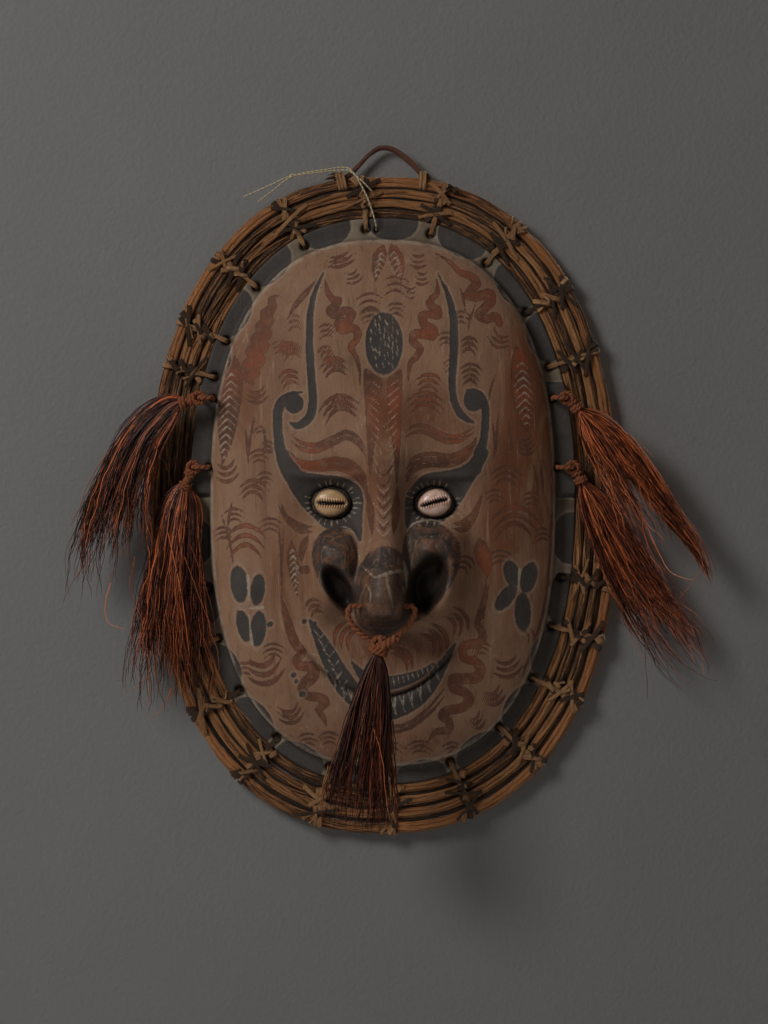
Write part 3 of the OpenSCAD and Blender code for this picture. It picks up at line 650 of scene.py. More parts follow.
class Ink:
    """How far each point of the board is from the edge of the painted shapes."""

    def __init__(self, x, z):
        self.x, self.z = x, z
        self.d = np.full(len(x), UNPAINTED)

    def near(self, lo, hi, pad=UNPAINTED):
        """The points of the board that are in a box or close to it."""
        return np.flatnonzero((self.x > lo[0] - pad) & (self.x < hi[0] + pad)
                              & (self.z > lo[1] - pad) & (self.z < hi[1] + pad))

    def stroke(self, points, widths, per=4):
        """A brush stroke through the points, with its half width at each."""
        w = np.interp(np.linspace(0, 1, len(points)), np.linspace(0, 1, len(widths)), widths)
        p = spline(np.column_stack([np.asarray(points, float), w]), per)
        i = self.near(p[:, :2].min(0), p[:, :2].max(0), 7)
        x, z = self.x[i], self.z[i]
        best = self.d[i]
        for a, b in zip(p[:-1], p[1:]):
            e = b[:2] - a[:2]
            t = np.clip(((x - a[0]) * e[0] + (z - a[1]) * e[1]) / (e @ e + 1e-9), 0, 1)
            r = np.hypot(x - a[0] - t * e[0], z - a[1] - t * e[1]) - (a[2] + t * (b[2] - a[2]))
            best = np.minimum(best, r)
        self.d[i] = best

    def area(self, points, per=5):
        """A closed shape with a smooth outline through the points."""
        p = np.asarray(points, float)
        m = len(p)
        p = spline(np.vstack([p[-2:], p, p[:2]]), per)[2 * per : (2 + m) * per + 1]
        i = self.near(p.min(0), p.max(0))
        x, z = self.x[i], self.z[i]
        best, inside = np.full(len(i), 9.0), np.zeros(len(i), bool)
        for a, b in zip(p[:-1], p[1:]):
            e = b - a
            t = np.clip(((x - a[0]) * e[0] + (z - a[1]) * e[1]) / (e @ e + 1e-9), 0, 1)
            best = np.minimum(best, np.hypot(x - a[0] - t * e[0], z - a[1] - t * e[1]))
            cross = (a[1] > z) != (b[1] > z)
            inside ^= cross & (x < (b[0] - a[0]) * (z - a[1]) / (b[1] - a[1] + 1e-12) + a[0])
        self.d[i] = np.minimum(self.d[i], np.where(inside, -best, best))

    def oval(self, cx, cz, rx, rz, turn=0.0):
        """An oval, turned by so many degrees."""
        i = self.near((cx - rx - rz, cz - rx - rz), (cx + rx + rz, cz + rx + rz))
        c, s = math.cos(math.radians(turn)), math.sin(math.radians(turn))
        u = (self.x[i] - cx) * c + (self.z[i] - cz) * s
        v = -(self.x[i] - cx) * s + (self.z[i] - cz) * c
        self.d[i] = np.minimum(self.d[i],
                (np.sqrt((u / rx) ** 2 + (v / rz) ** 2) - 1) * min(rx, rz))

    def arcs(self, cx, cz, span, rise, count=2, gap=5.0, turn=0.0, thick=1.5):
        """Nested crescents, the way the painter fills the ground: rise up makes a hill."""
        gap, thick = 0.86 * gap, 0.95 * thick
        for k in range(count + 1):
            shrink = 1 - 0.12 * k
            u = np.linspace(-1, 1, 7)
            x = u * span / 2 * shrink
            z = rise * (1 - u**2) - k * gap * (1 if rise > 0 else -1)
            a = math.radians(turn)
            self.stroke(np.column_stack([cx + x * math.cos(a) - z * math.sin(a),
                    cz + x * math.sin(a) + z * math.cos(a)]),
                        [0.15, thick * 0.8, thick, thick * 0.8, 0.15], 3)

    def leaf(self, points, half):
        """A long leaf: a stroke that is widest at its middle."""
        self.stroke(points, [0.3, half * 0.75, half, half * 0.9, half * 0.5, 0.3], 5)


def feather_veins(ink, top, bottom, half, count, slope=0.9):
    """Pale chevron veins up a leaf."""
    a, b = np.array(top, float), np.array(bottom, float)
    for k in range(count):
        t = (k + 1.2) / (count + 1)
        p = a + (b - a) * t
        r = half * math.sin(math.pi * min(1, 0.12 + t * 0.86)) * 0.85
        for s in (-1, 1):
            ink.stroke([p + (0, 0.4), p + (s * r * 0.5, -r * 0.42 * slope),
                        p + (s * r, -r * 1.0 * slope)], [0.62, 0.5, 0.25], 2)


# the angles of the black petals on the flange, in degrees
PETALS = [45, 58, 73, 88, 102, 116, 129, 141, -11, -28, -42, -55.5, -68.5, -82, -95, -108, -121,
    -134, -151, -168]
HOLE_INSET = 8.0  # how far the lashing holes are in from the board's edge


def edge_point(t):
    """The point of the board's edge at an angle in degrees, and which way the edge faces there."""
    c, s = math.cos(math.radians(t)), math.sin(math.radians(t))
    r = 1 / ((abs(c) / BOARD[0]) ** BOARD[2] + (abs(s) / BOARD[1]) ** BOARD[2]) ** (1 / BOARD[2])
    x, z = r * c, r * s
    g = math.atan2(math.copysign((abs(z) / BOARD[1]) ** (BOARD[2] - 1) / BOARD[1], z),
                   math.copysign((abs(x) / BOARD[0]) ** (BOARD[2] - 1) / BOARD[0], x))
    return np.array([x, z + BOARD_CENTRE]), g


def hole_point(t):
    """The same for the lashing hole there."""
    p, g = edge_point(t)
    return p - HOLE_INSET * np.array([math.cos(g), math.sin(g)]), g


def paint_black(ink):
    """Petals, scrolls, eye patches, flowers and the smile."""
    # petals on the flange
    for t in PETALS:
        p, g = edge_point(t)
        c = p - 3.0 * np.array([math.cos(g), math.sin(g)])
        ink.oval(c[0], c[1], 14.0, 19.6 if abs(t) < 150 else 17.5, math.degrees(g))
    # scrolls that start as a point on the forehead and end in a hook
    ink.stroke([(-44.4, 174), (-47.9, 166), (-52, 155.6), (-54.2, 143), (-54.9, 128), (-54.6, 110),
        (-53.2, 92), (-52.4, 76), (-53.8, 66), (-58.5, 60.3), (-64.5, 57.6), (-70, 60.6)],
        [0.3, 1.2, 1.9, 2.4, 2.7, 2.9, 3.0, 3.1, 3.3, 3.2, 2.6, 0.4])
    ink.stroke([(41.4, 173.5), (44.6, 165.7), (48.4, 158), (52.2, 143), (53.4, 127.7),
        (52.8, 107.4), (51.8, 90), (53.2, 77), (57.4, 67.5), (63.5, 62), (68.6, 59.8)],
        [0.3, 1.0, 1.8, 2.7, 3.1, 3.1, 2.6, 2.6, 2.8, 2.0, 0.4])
    ink.oval(-66.3, 74.2, 7.0, 7.4)
    ink.oval(68.0, 77.0, 7.6, 8.6)
    ink.stroke([(-60.4, 83), (-66, 82), (-72, 79), (-77, 73.5), (-78.8, 64), (-78.3, 52),
        (-76.6, 40), (-73, 30), (-68, 22)], [0.5, 1.6, 3.0, 3.6, 3.5, 3.5, 4.0, 5.5, 7.0])
    ink.stroke([(62, 84.5), (69, 84), (74.5, 79), (76.8, 70), (76.6, 59), (75.4, 48), (72.4, 36),
        (68, 26)], [0.4, 1.4, 2.6, 2.9, 2.9, 3.0, 4.0, 6.0])
    # patches round the eyes
    ink.area([(-80, 40), (-76.5, 28), (-70, 12), (-60, -3), (-50, -12.5), (-42, -19), (-30, -19.5),
        (-22, -21), (-16.5, -29), (-15.4, -14), (-14.6, 2), (-17, 11), (-24, 16.5), (-33, 19.6),
        (-49, 21.4), (-61, 24), (-68, 31), (-72, 40)])
    ink.area([(79, 38), (73, 25), (66, 13.5), (57, -1.5), (46, -13), (36, -17), (27, -18.5),
        (18, -19), (16.5, -6), (17.2, 5), (23, 14), (31, 21), (40, 23), (50, 24.5), (60, 27.5),
        (67, 34), (70, 41)])
    ink.oval(0.9, 119.2, 14, 23.3)
    # four-petal flowers on the cheeks
    for cx, cz, rx, rz, turn in [(-108, -61, 6.6, 14, 6), (-93.8, -65, 5.4, 12, -7),
            (-104.8, -92.5, 5.2, 12.5, 14), (-93.6, -94.5, 6.0, 13.5, -5), (96.6, -53, 6.0, 10, 16),
            (109.6, -56, 6.5, 11.5, -14), (92.2, -71, 5.6, 11.5, -38), (105.2, -82, 6.2, 14.5, 2)]:
        ink.oval(cx, cz, rx, rz, turn)
    # the smile's two leaves
    ink.area([(-55.5, -87), (-51, -104), (-46.6, -116), (-41, -130), (-33, -143), (-20, -155),
        (-3, -161.5), (10, -162), (27, -153.5), (39.5, -139.6), (48.3, -122), (54.6, -104.5),
        (41, -120), (29.4, -134), (14, -142), (-2, -145.2), (-14, -141), (-27, -124), (-39, -105),
        (-48, -93)])
    ink.area([(-24, -118), (-12, -127), (0, -130), (14, -128.3), (28, -124.6), (39.5, -118.8),
        (30.6, -130), (14, -138), (-2, -140), (-15, -135)])
    # lugs and old damage
    for s in (-1, 1):
        ink.area([(s * 121.5, 4), (s * 121.5, 92), (s * 147, 92), (s * 149, 48), (s * 147, 4)], 1)
    for cx, cz, r in [(-67, -129, 2.4), (-65, -134, 1.8), (-60.6, -143.5, 2.6), (-58.5, -88.5, 2.2),
                      (-51, -90, 1.7), (-84.5, -91, 2.6)]:
        ink.oval(cx, cz, r, r * 0.8, 30)


def paint_snout(ink):
    """The nostril wings and the nose's tip."""
    ink.area([(-31, -19), (-41, -19.5), (-48.5, -25), (-52.4, -35), (-51.5, -48), (-46.5, -60),
        (-38, -72), (-28.5, -85), (-22.5, -80), (-20, -66), (-18.8, -48), (-19, -35), (-23, -25)])
    ink.area([(29.4, -14.4), (21, -18), (15.6, -27), (14.6, -40), (16.5, -56), (19, -72), (20, -88),
        (28, -87), (36, -80), (46, -68), (54, -54), (58, -41), (56, -29), (48, -19), (39, -14.8)])
    ink.area([(-14, -42), (-9, -35), (1, -32), (11, -35), (16, -43), (20, -58), (21, -75),
        (17, -90), (2, -99), (-13, -95), (-21, -83), (-21, -64), (-19, -50)])


def paint_red(ink):
    """Red earth: serpents, leaves, strips, crescents and loose lines."""
    # serpents
    for points, widths in (([(-43.5, 168), (-41, 158), (-37, 152.5), (-33, 152), (-36, 147),
            (-40, 144.5), (-36, 141), (-28, 144), (-23, 141.5), (-27, 136), (-33, 134.5),
            (-30, 129.5), (-23, 131), (-18.5, 127), (-20.5, 121), (-23.5, 116), (-20, 109),
            (-17.5, 100), (-17, 88)], [0.4, 2.2, 2.8, 2.6, 2.8, 3.2, 3.4, 3.4, 3.2, 3.4, 3.4, 3.4,
            3.2, 3.0, 2.6, 2.4, 1.8, 1.2, 0.3]),
            ([(40.5, 168), (41, 158), (37, 153.5), (35, 149), (41, 145), (41, 140.5), (34, 141.5),
            (29.5, 140), (31, 134), (37, 130), (37, 125), (29, 126.5), (23.5, 126), (23, 120),
            (28, 115.5), (25, 109), (20.5, 104), (19, 91)],
            [0.4, 2.0, 2.6, 2.8, 3.0, 3.2, 3.0, 3.2, 3.4, 3.6, 3.4, 3.6, 3.4, 3.0, 2.6, 2.6, 2.0,
            0.3]),
            ([(-78, 156), (-84, 154), (-83, 147), (-89, 143), (-86, 137), (-92, 133), (-88, 127),
            (-95, 123), (-90, 117), (-99, 114), (-93, 107), (-102, 104), (-96, 98), (-103, 95),
            (-98, 90)], [0.6, 2.4, 3.4, 3.8, 4.2, 4.4, 4.6, 4.8, 4.8, 4.8, 4.8, 4.4, 4.2, 3.0,
            1.6]),
            ([(39, 189), (50, 182), (58, 174), (66, 171), (71, 166), (66, 160), (64, 156),
            (71, 155), (80, 158), (82, 152), (76, 146), (72, 141), (78, 138), (85, 140), (88, 135)],
            [0.4, 1.6, 2.4, 3.2, 3.4, 3.2, 3.4, 3.6, 3.8, 3.6, 3.6, 3.4, 3.4, 3.6, 2.8]),
            ([(-76, -70), (-73, -82), (-69.5, -95), (-65, -106), (-60, -112), (-65, -117),
            (-62, -122), (-54, -123), (-52, -129), (-57, -134), (-61, -139), (-56, -145),
            (-47, -146), (-43, -150), (-48, -155), (-45, -161), (-42, -168)],
            [0.4, 2.4, 3.4, 3.6, 3.0, 3.0, 3.4, 4.2, 4.6, 4.4, 3.4, 3.4, 3.4, 3.2, 2.8, 2.2, 0.4]),
            ([(77, -56), (76.5, -68), (73.5, -80), (70.5, -90), (74, -96), (74.5, -103),
            (66, -105.5), (60, -108), (61, -116), (69, -119), (73, -124), (71, -131), (61, -131.5),
            (53, -132), (53.5, -139), (61, -142), (65, -148), (59, -154), (48, -156), (44.5, -160),
            (50, -165), (49, -171), (40, -172), (35, -178)],
            [0.3, 1.6, 2.2, 2.4, 3.0, 3.0, 3.2, 3.4, 3.2, 3.4, 3.8, 4.0, 4.0, 4.0, 3.8, 3.6, 3.8,
            3.8, 3.6, 3.2, 3.0, 3.0, 2.4, 0.4])):
        ink.stroke(points, widths, 5)
    # feathers, strips and leaves
    ink.leaf([(-111.5, 112), (-113, 98), (-115, 84), (-117, 64), (-118.5, 44), (-121, 29)], 9.3)
    ink.leaf([(101, 118), (103.5, 106), (105, 92), (106, 76), (107.5, 62), (109, 53)], 8.6)
    ink.area([(-13.8, 99), (-6, 96), (-0.6, 92.5), (-1.6, 74), (-4.4, 52), (-7.4, 32), (-9.6, 20),
        (-11.5, 40), (-12.8, 70)])
    ink.area([(14.4, 98), (8, 96), (3.4, 92.5), (4.2, 74), (6.4, 52), (8.4, 32), (10.4, 12),
        (13, 40), (14, 70)])
    for points, half in (([(-11, 8), (-9.5, -4), (-8.5, -14), (-8, -24)], 3.0),
            ([(11, 12), (10, -2), (8.8, -14), (8, -24)], 3.2),
            ([(0.5, 195), (-2, 187), (-4, 178), (-5.5, 166)], 5.4),
            ([(6.5, 196), (9.5, 187), (12, 178), (14, 166)], 5.6),
            ([(-68, -28), (-67.5, -40), (-66, -54), (-63.5, -71)], 4.4),
            ([(-56, -24), (-58.5, -30), (-60.5, -38), (-60.5, -44)], 3.0)):
        ink.leaf(points, half)
    ink.area([(-61.5, -47.5), (-55.5, -47), (-55, -52.5), (-61.5, -52.5)])
    ink.leaf([(-49, 168), (-58, 158), (-66, 148), (-70, 142)], 2.4)
    ink.leaf([(72, -26), (74, -36), (77, -46), (78, -56)], 6.5)
    # columns of crescents
    for cx, cz, span, rise, n, gap, turn, thick in [(-67, 137, 14, 4, 2, 5, 8, 1.0),
            (-69, 114, 18, 6, 2, 4.6, 12, 1.5), (-70, 93, 19, 6, 2, 4.8, 14, 1.5),
            (-43, 113, 13, 4, 2, 4.6, 22, 1.3), (-36, 101, 24, 7, 2, 5, 8, 1.7),
            (-32, 69, 34, 11, 2, 5.5, 10, 2.0), (-32, 182, 26, -4, 2, 4.4, 14, 1.4),
            (-22, 168, 15, -3, 2, 4.4, 18, 1.1), (-94.5, 80, 19, -5, 2, 4.4, 8, 1.4),
            (-117.5, 22, 20, -6, 2, 6, 8, 1.7), (-97, 9, 24, 8, 2, 5, -4, 1.6),
            (-103, -28, 34, 11, 2, 8.4, 0, 2.1), (-88.5, -127, 31, -9, 2, 8, 12, 2.3),
            (-69.5, -159, 22, -7, 2, 5, 14, 1.7), (-51.5, -77, 15, 5, 2, 5, 22, 1.5),
            (-86, 42, 12, 4, 2, 4, 0, 1.0), (-92, 52, 10, 5, 1, 4, 0, 0.8),
            (65, 119, 15, 5, 2, 5, -6, 1.4), (66, 98, 19, 6, 3, 4.6, -4, 1.4),
            (35, 90, 22, 6, 2, 5, -6, 1.5), (32, 74, 31, 8, 2, 5, -2, 1.8),
            (87, 122, 18, -5, 2, 4.6, -22, 1.4), (93, 20, 25, 7, 2, 5.4, -4, 1.6),
            (108, 40, 14, -4, 3, 4.2, 4, 1.2), (99, -16, 40, 13, 2, 7.2, 0, 2.0),
            (94, -124, 25, -7, 2, 6, 12, 1.8), (83.5, -146, 20, -6, 2, 5, 18, 1.6),
            (71, -165, 14, -5, 2, 4.6, 24, 1.3), (26, 180, 15, -3, 2, 5, -4, 1.2),
            (29, 167, 12, -3, 2, 4.4, -4, 1.1), (50, 103, 10, 4, 2, 4, 0, 0.9),
            (21, 156, 9, -2.5, 2, 4, 0, 0.9), (56, -88, 26, 7, 2, 6, -62, 1.7),
            (40, -101, 28, 7, 2, 6, -58, 2.0), (13, -117, 24, 7, 1, 5, -42, 2.0),
            (-29, -98, 26, 6, 2, 6, 60, 1.9), (-10, 152, 22, 5, 2, 6, 4, 1.1),
            (10, 165, 22, 5, 2, 6, -4, 1.1), (62, -45, 16, 5, 2, 5, -30, 1.2),
            (110, -100, 16, 4, 1, 5, -70, 0.9)]:
        ink.arcs(cx, cz, span, rise, n, gap, turn, thick)
    # long strokes over the brows and round the eyes
    for k in range(2):
        ink.stroke([(-69, 52 - 5 * k), (-61, 45 - 4.6 * k), (-50, 43 - 4.4 * k),
            (-38, 48 - 4.6 * k), (-28, 53 - 5 * k), (-19, 49 - 5 * k), (-12.5, 39 - 5 * k)],
            [0.3, 1.4, 1.9, 1.7, 1.6, 1.3, 0.4])
        ink.stroke([(16.7, 53 - 4.6 * k), (24, 57.5 - 4.8 * k), (33, 57 - 5 * k),
            (46, 50.5 - 4.6 * k), (57, 50 - 4 * k), (68, 56.5 - 4 * k)],
            [0.3, 1.3, 1.7, 1.8, 1.5, 0.4])
    for k in range(3):
        ink.stroke([(-72.5 + k, 42 - 4 * k), (-65, 33 - 3.2 * k), (-53, 29.5 - 2.5 * k),
            (-36, 32.5 - 3.4 * k), (-23, 29.5 - 3.8 * k), (-14.5, 21 - 4.4 * k),
            (-11.6, 10 - 5 * k)], [0.3, 1.3, 1.7, 1.9, 1.8, 1.4, 0.3])
        ink.stroke([(17 - k * 0.5, 24 - 5 * k), (24, 33.5 - 4.6 * k), (36, 36.5 - 4.2 * k),
            (50, 35 - 3.6 * k), (62, 40 - 3.2 * k), (70.5, 49 - 3 * k)],
            [0.3, 1.5, 1.7, 1.7, 1.5, 0.4])
    for k in range(2):
        ink.stroke([(-79 + 3 * k, -1 + k), (-72, -12 + 2 * k), (-62, -20.5 + 3.6 * k),
            (-52.5, -21.5 + 3.5 * k)], [0.3, 1.5, 2.3, 0.4])
        ink.stroke([(52, -19 + 3.4 * k), (61, -19.5 + 5 * k), (69, -10 + 4 * k), (74.5, 5 + 3 * k)],
            [0.4, 2.5, 1.8, 0.3])
        ink.stroke([(-24, -166 - 4.4 * k), (-2, -168.5 - 4 * k), (18, -166 - 4 * k),
            (35, -153 - 5 * k), (46, -139 - 6 * k)], [0.3, 1.3, 1.5, 1.3, 0.3])
    # long loose lines down the cheeks and the edge of the face
    for x, top, low, lean in [(-104, 60, 28, 3), (-96, 66, 30, -5), (-90, 58, 34, 3),
            (-124, -4, -50, 12), (-113, 2, -22, -4), (-78, -14, -70, 3), (-74, -22, -62, -2),
            (82, 62, 32, 2), (87, 70, 36, -2), (94, 64, 34, 3), (80, -60, -92, -5), (118, 36, 2, 3),
            (113, 30, 6, 4), (85, 96, 74, -6), (70, 150, 128, -6), (58, 162, 144, 4),
            (-58, 160, 146, -8)]:
        ink.stroke([(x, top), (x + lean * 0.7, (top + low) / 2), (x + lean, low)], [0.2, 1.0, 0.2])
    for k in range(6):  # the bridge of the nose
        ink.stroke([(-6.2 + 0.5 * k, 27 - 8 * k), (0.6, 20 - 8 * k), (7.4 - 0.5 * k, 27.5 - 8 * k)],
                   [0.3, 0.85, 0.3], 3)
    # small crescents that fill the corners
    for x, z, w in [(-93, 36, 5), (-88, 20, 4), (-84, -16, 6), (-120, -22, 5), (-82, -110, 6),
            (-104, -124, 5), (-56, -178, 6), (4, -186, 9), (-20, -180, 7), (28, -184, 7),
            (84, 6, 5), (120, -22, 4), (88, -40, 6), (-42, 130, 5), (48, 124, 5), (-8, 140, 6),
            (10, 146, 5), (-76, 118, 5), (58, 140, 5), (112, 4, 5), (-112, -8, 5), (74, -108, 5),
            (-40, -176, 5), (52, -184, 5)]:
        ink.arcs(x, z, 3.2 * w, 0.7 * w, 2, 4.4, 4 * math.sin(x), 1.1)
    ink.stroke([(127.2, 38), (127.8, 0), (126.2, -40), (122.6, -75), (113, -110), (102, -137)],
        [0.3, 0.8, 1.1, 1.2, 1.1, 0.3])
    ink.stroke([(-56, -99), (-48, -96), (-36, -112), (-22, -132), (-6, -143.5), (13, -141.5),
        (30, -133), (41.5, -120), (53.5, -105)], [0.3, 0.5, 0.8, 0.9, 1.0, 1.0, 0.9, 0.8, 0.3])


def paint_white(ink, rng):
    """Pale dashes, veins, ticks and lines over the rest."""
    for row in range(-4, 5):  # slanted dashes on the forehead oval
        for col in range(-4, 5):
            x = 0.6 + 3.2 * col + rng.uniform(-0.8, 0.8)
            z = 119.5 + 5.6 * row + 2.6 * (col % 2) + rng.uniform(-1, 1)
            if ((x - 0.6) / 12.2) ** 2 + ((z - 119.5) / 20.5) ** 2 < 1 and rng.random() < 0.85:
                ink.stroke([(x, z + 1.7), (x + rng.uniform(0.2, 1.5), z - 1.9)], [0.48, 0.34], 1)
    feather_veins(ink, (-113.5, 104), (-120, 30), 9.6, 12)
    feather_veins(ink, (104, 112), (108.6, 56), 8.6, 9)
    feather_veins(ink, (-68, -30), (-64, -70), 4.6, 8, 1.2)
    for s, x0 in ((-1, -7.5), (1, 9.0)):
        for k in range(11):  # herringbone on the bridge strips
            z = 90 - 6.4 * k
            w = 5.6 - 0.34 * k
            ink.stroke([(x0 - s * k * 0.12 - s * w, z - 4.2),
                        (x0 - s * k * 0.12 + s * w * 0.5, z + 2.2)], [0.45, 0.3], 1)
    feather_veins(ink, (0, 193), (-5.2, 168), 5.0, 5, 1.0)
    feather_veins(ink, (7, 194), (13.6, 168), 5.2, 5, 1.0)
    for k in range(5):
        ink.stroke([(-5.2, 14 - 8 * k), (0.6, 7.5 - 8 * k), (6.2, 14.4 - 8 * k)],
                   [0.35, 0.55, 0.35], 2)
    # dashes round the eyes
    for side in (-1, 1):
        for k in range(24):
            a = math.radians(15 * k + rng.uniform(-3, 3))
            if side * math.cos(a) > 0.5 and math.sin(a) > 0.3:
                continue
            ink.stroke([(side * EYE_X + 14 * r * math.cos(a), 11.2 * r * math.sin(a))
                        for r in (1.20, 1.20 + rng.uniform(0.22, 0.40))], [0.62, 0.42], 1)
    # strokes on the smile: a fan below, short ticks above, chevrons at the left
    for k in range(34):
        t = -0.98 + 1.96 * k / 33
        x = -1 + 54 * t
        top = -145 + 40 * abs(t) ** 2.1
        low = -161 + 55 * abs(t) ** 2.4
        if low < top - 2:
            ink.stroke([(x - 1.2, top - 1.6), (x + 3.2 * (1 if k % 2 else -0.4), low + 1.6)],
                       [0.55, 0.4], 1)
    for k in range(15):
        x = -14 + 3.6 * k
        top = -130 + 0.0075 * x * x
        ink.stroke([(x, top - 1), (x + 1.0, top - 6.5 + 0.09 * abs(x - 8))], [0.5, 0.35], 1)
    for k in range(7):
        x, z = -49 + 3.4 * k, -98 - 7.2 * k
        ink.stroke([(x - 2.4, z + 3.0), (x + 2.0, z - 3.0), (x + 5.5, z + 1.4)], [0.5, 0.5, 0.4], 1)
    # the nose tip's pale lines and the edge of each wing
    for points, widths in (([(-15, -47), (-6, -54), (3, -51.5), (14, -50), (19, -53)],
            [0.4, 0.9, 1.1, 0.9, 0.4]),
            ([(2.5, -52), (3.4, -60), (5.5, -68), (7.5, -77)], [1.2, 0.9, 0.7, 0.3]),
            ([(15, -42), (17, -52), (17.5, -64)], [0.4, 1.2, 0.4]),
            ([(-31, -17.2), (-24, -20), (-19.4, -28), (-17.4, -42)], [0.3, 0.7, 0.8, 0.3]),
            ([(17, -22), (22, -16.2), (30, -13), (40, -13.2), (49, -17.5)],
            [0.3, 0.6, 0.7, 0.6, 0.3]), ([(-12, -60), (-9, -66), (-10, -76)], [0.3, 0.6, 0.3])):
        ink.stroke(points, widths)
    # seams between the flower petals
    for points, widths in (([(-101.3, -55), (-100.8, -66), (-100.4, -76)], [1.3, 0.9, 0.3]),
            ([(-108, -80), (-100.6, -79.4), (-90, -78.2)], [0.8, 0.6, 1.2]),
            ([(-100.4, -84), (-99.6, -96), (-98.4, -106)], [0.4, 0.9, 1.3]),
            ([(102.6, -50), (102, -60), (101.6, -66)], [1.2, 0.8, 0.3])):
        ink.stroke(points, widths)


# ---------------------------------------------------------------- the board

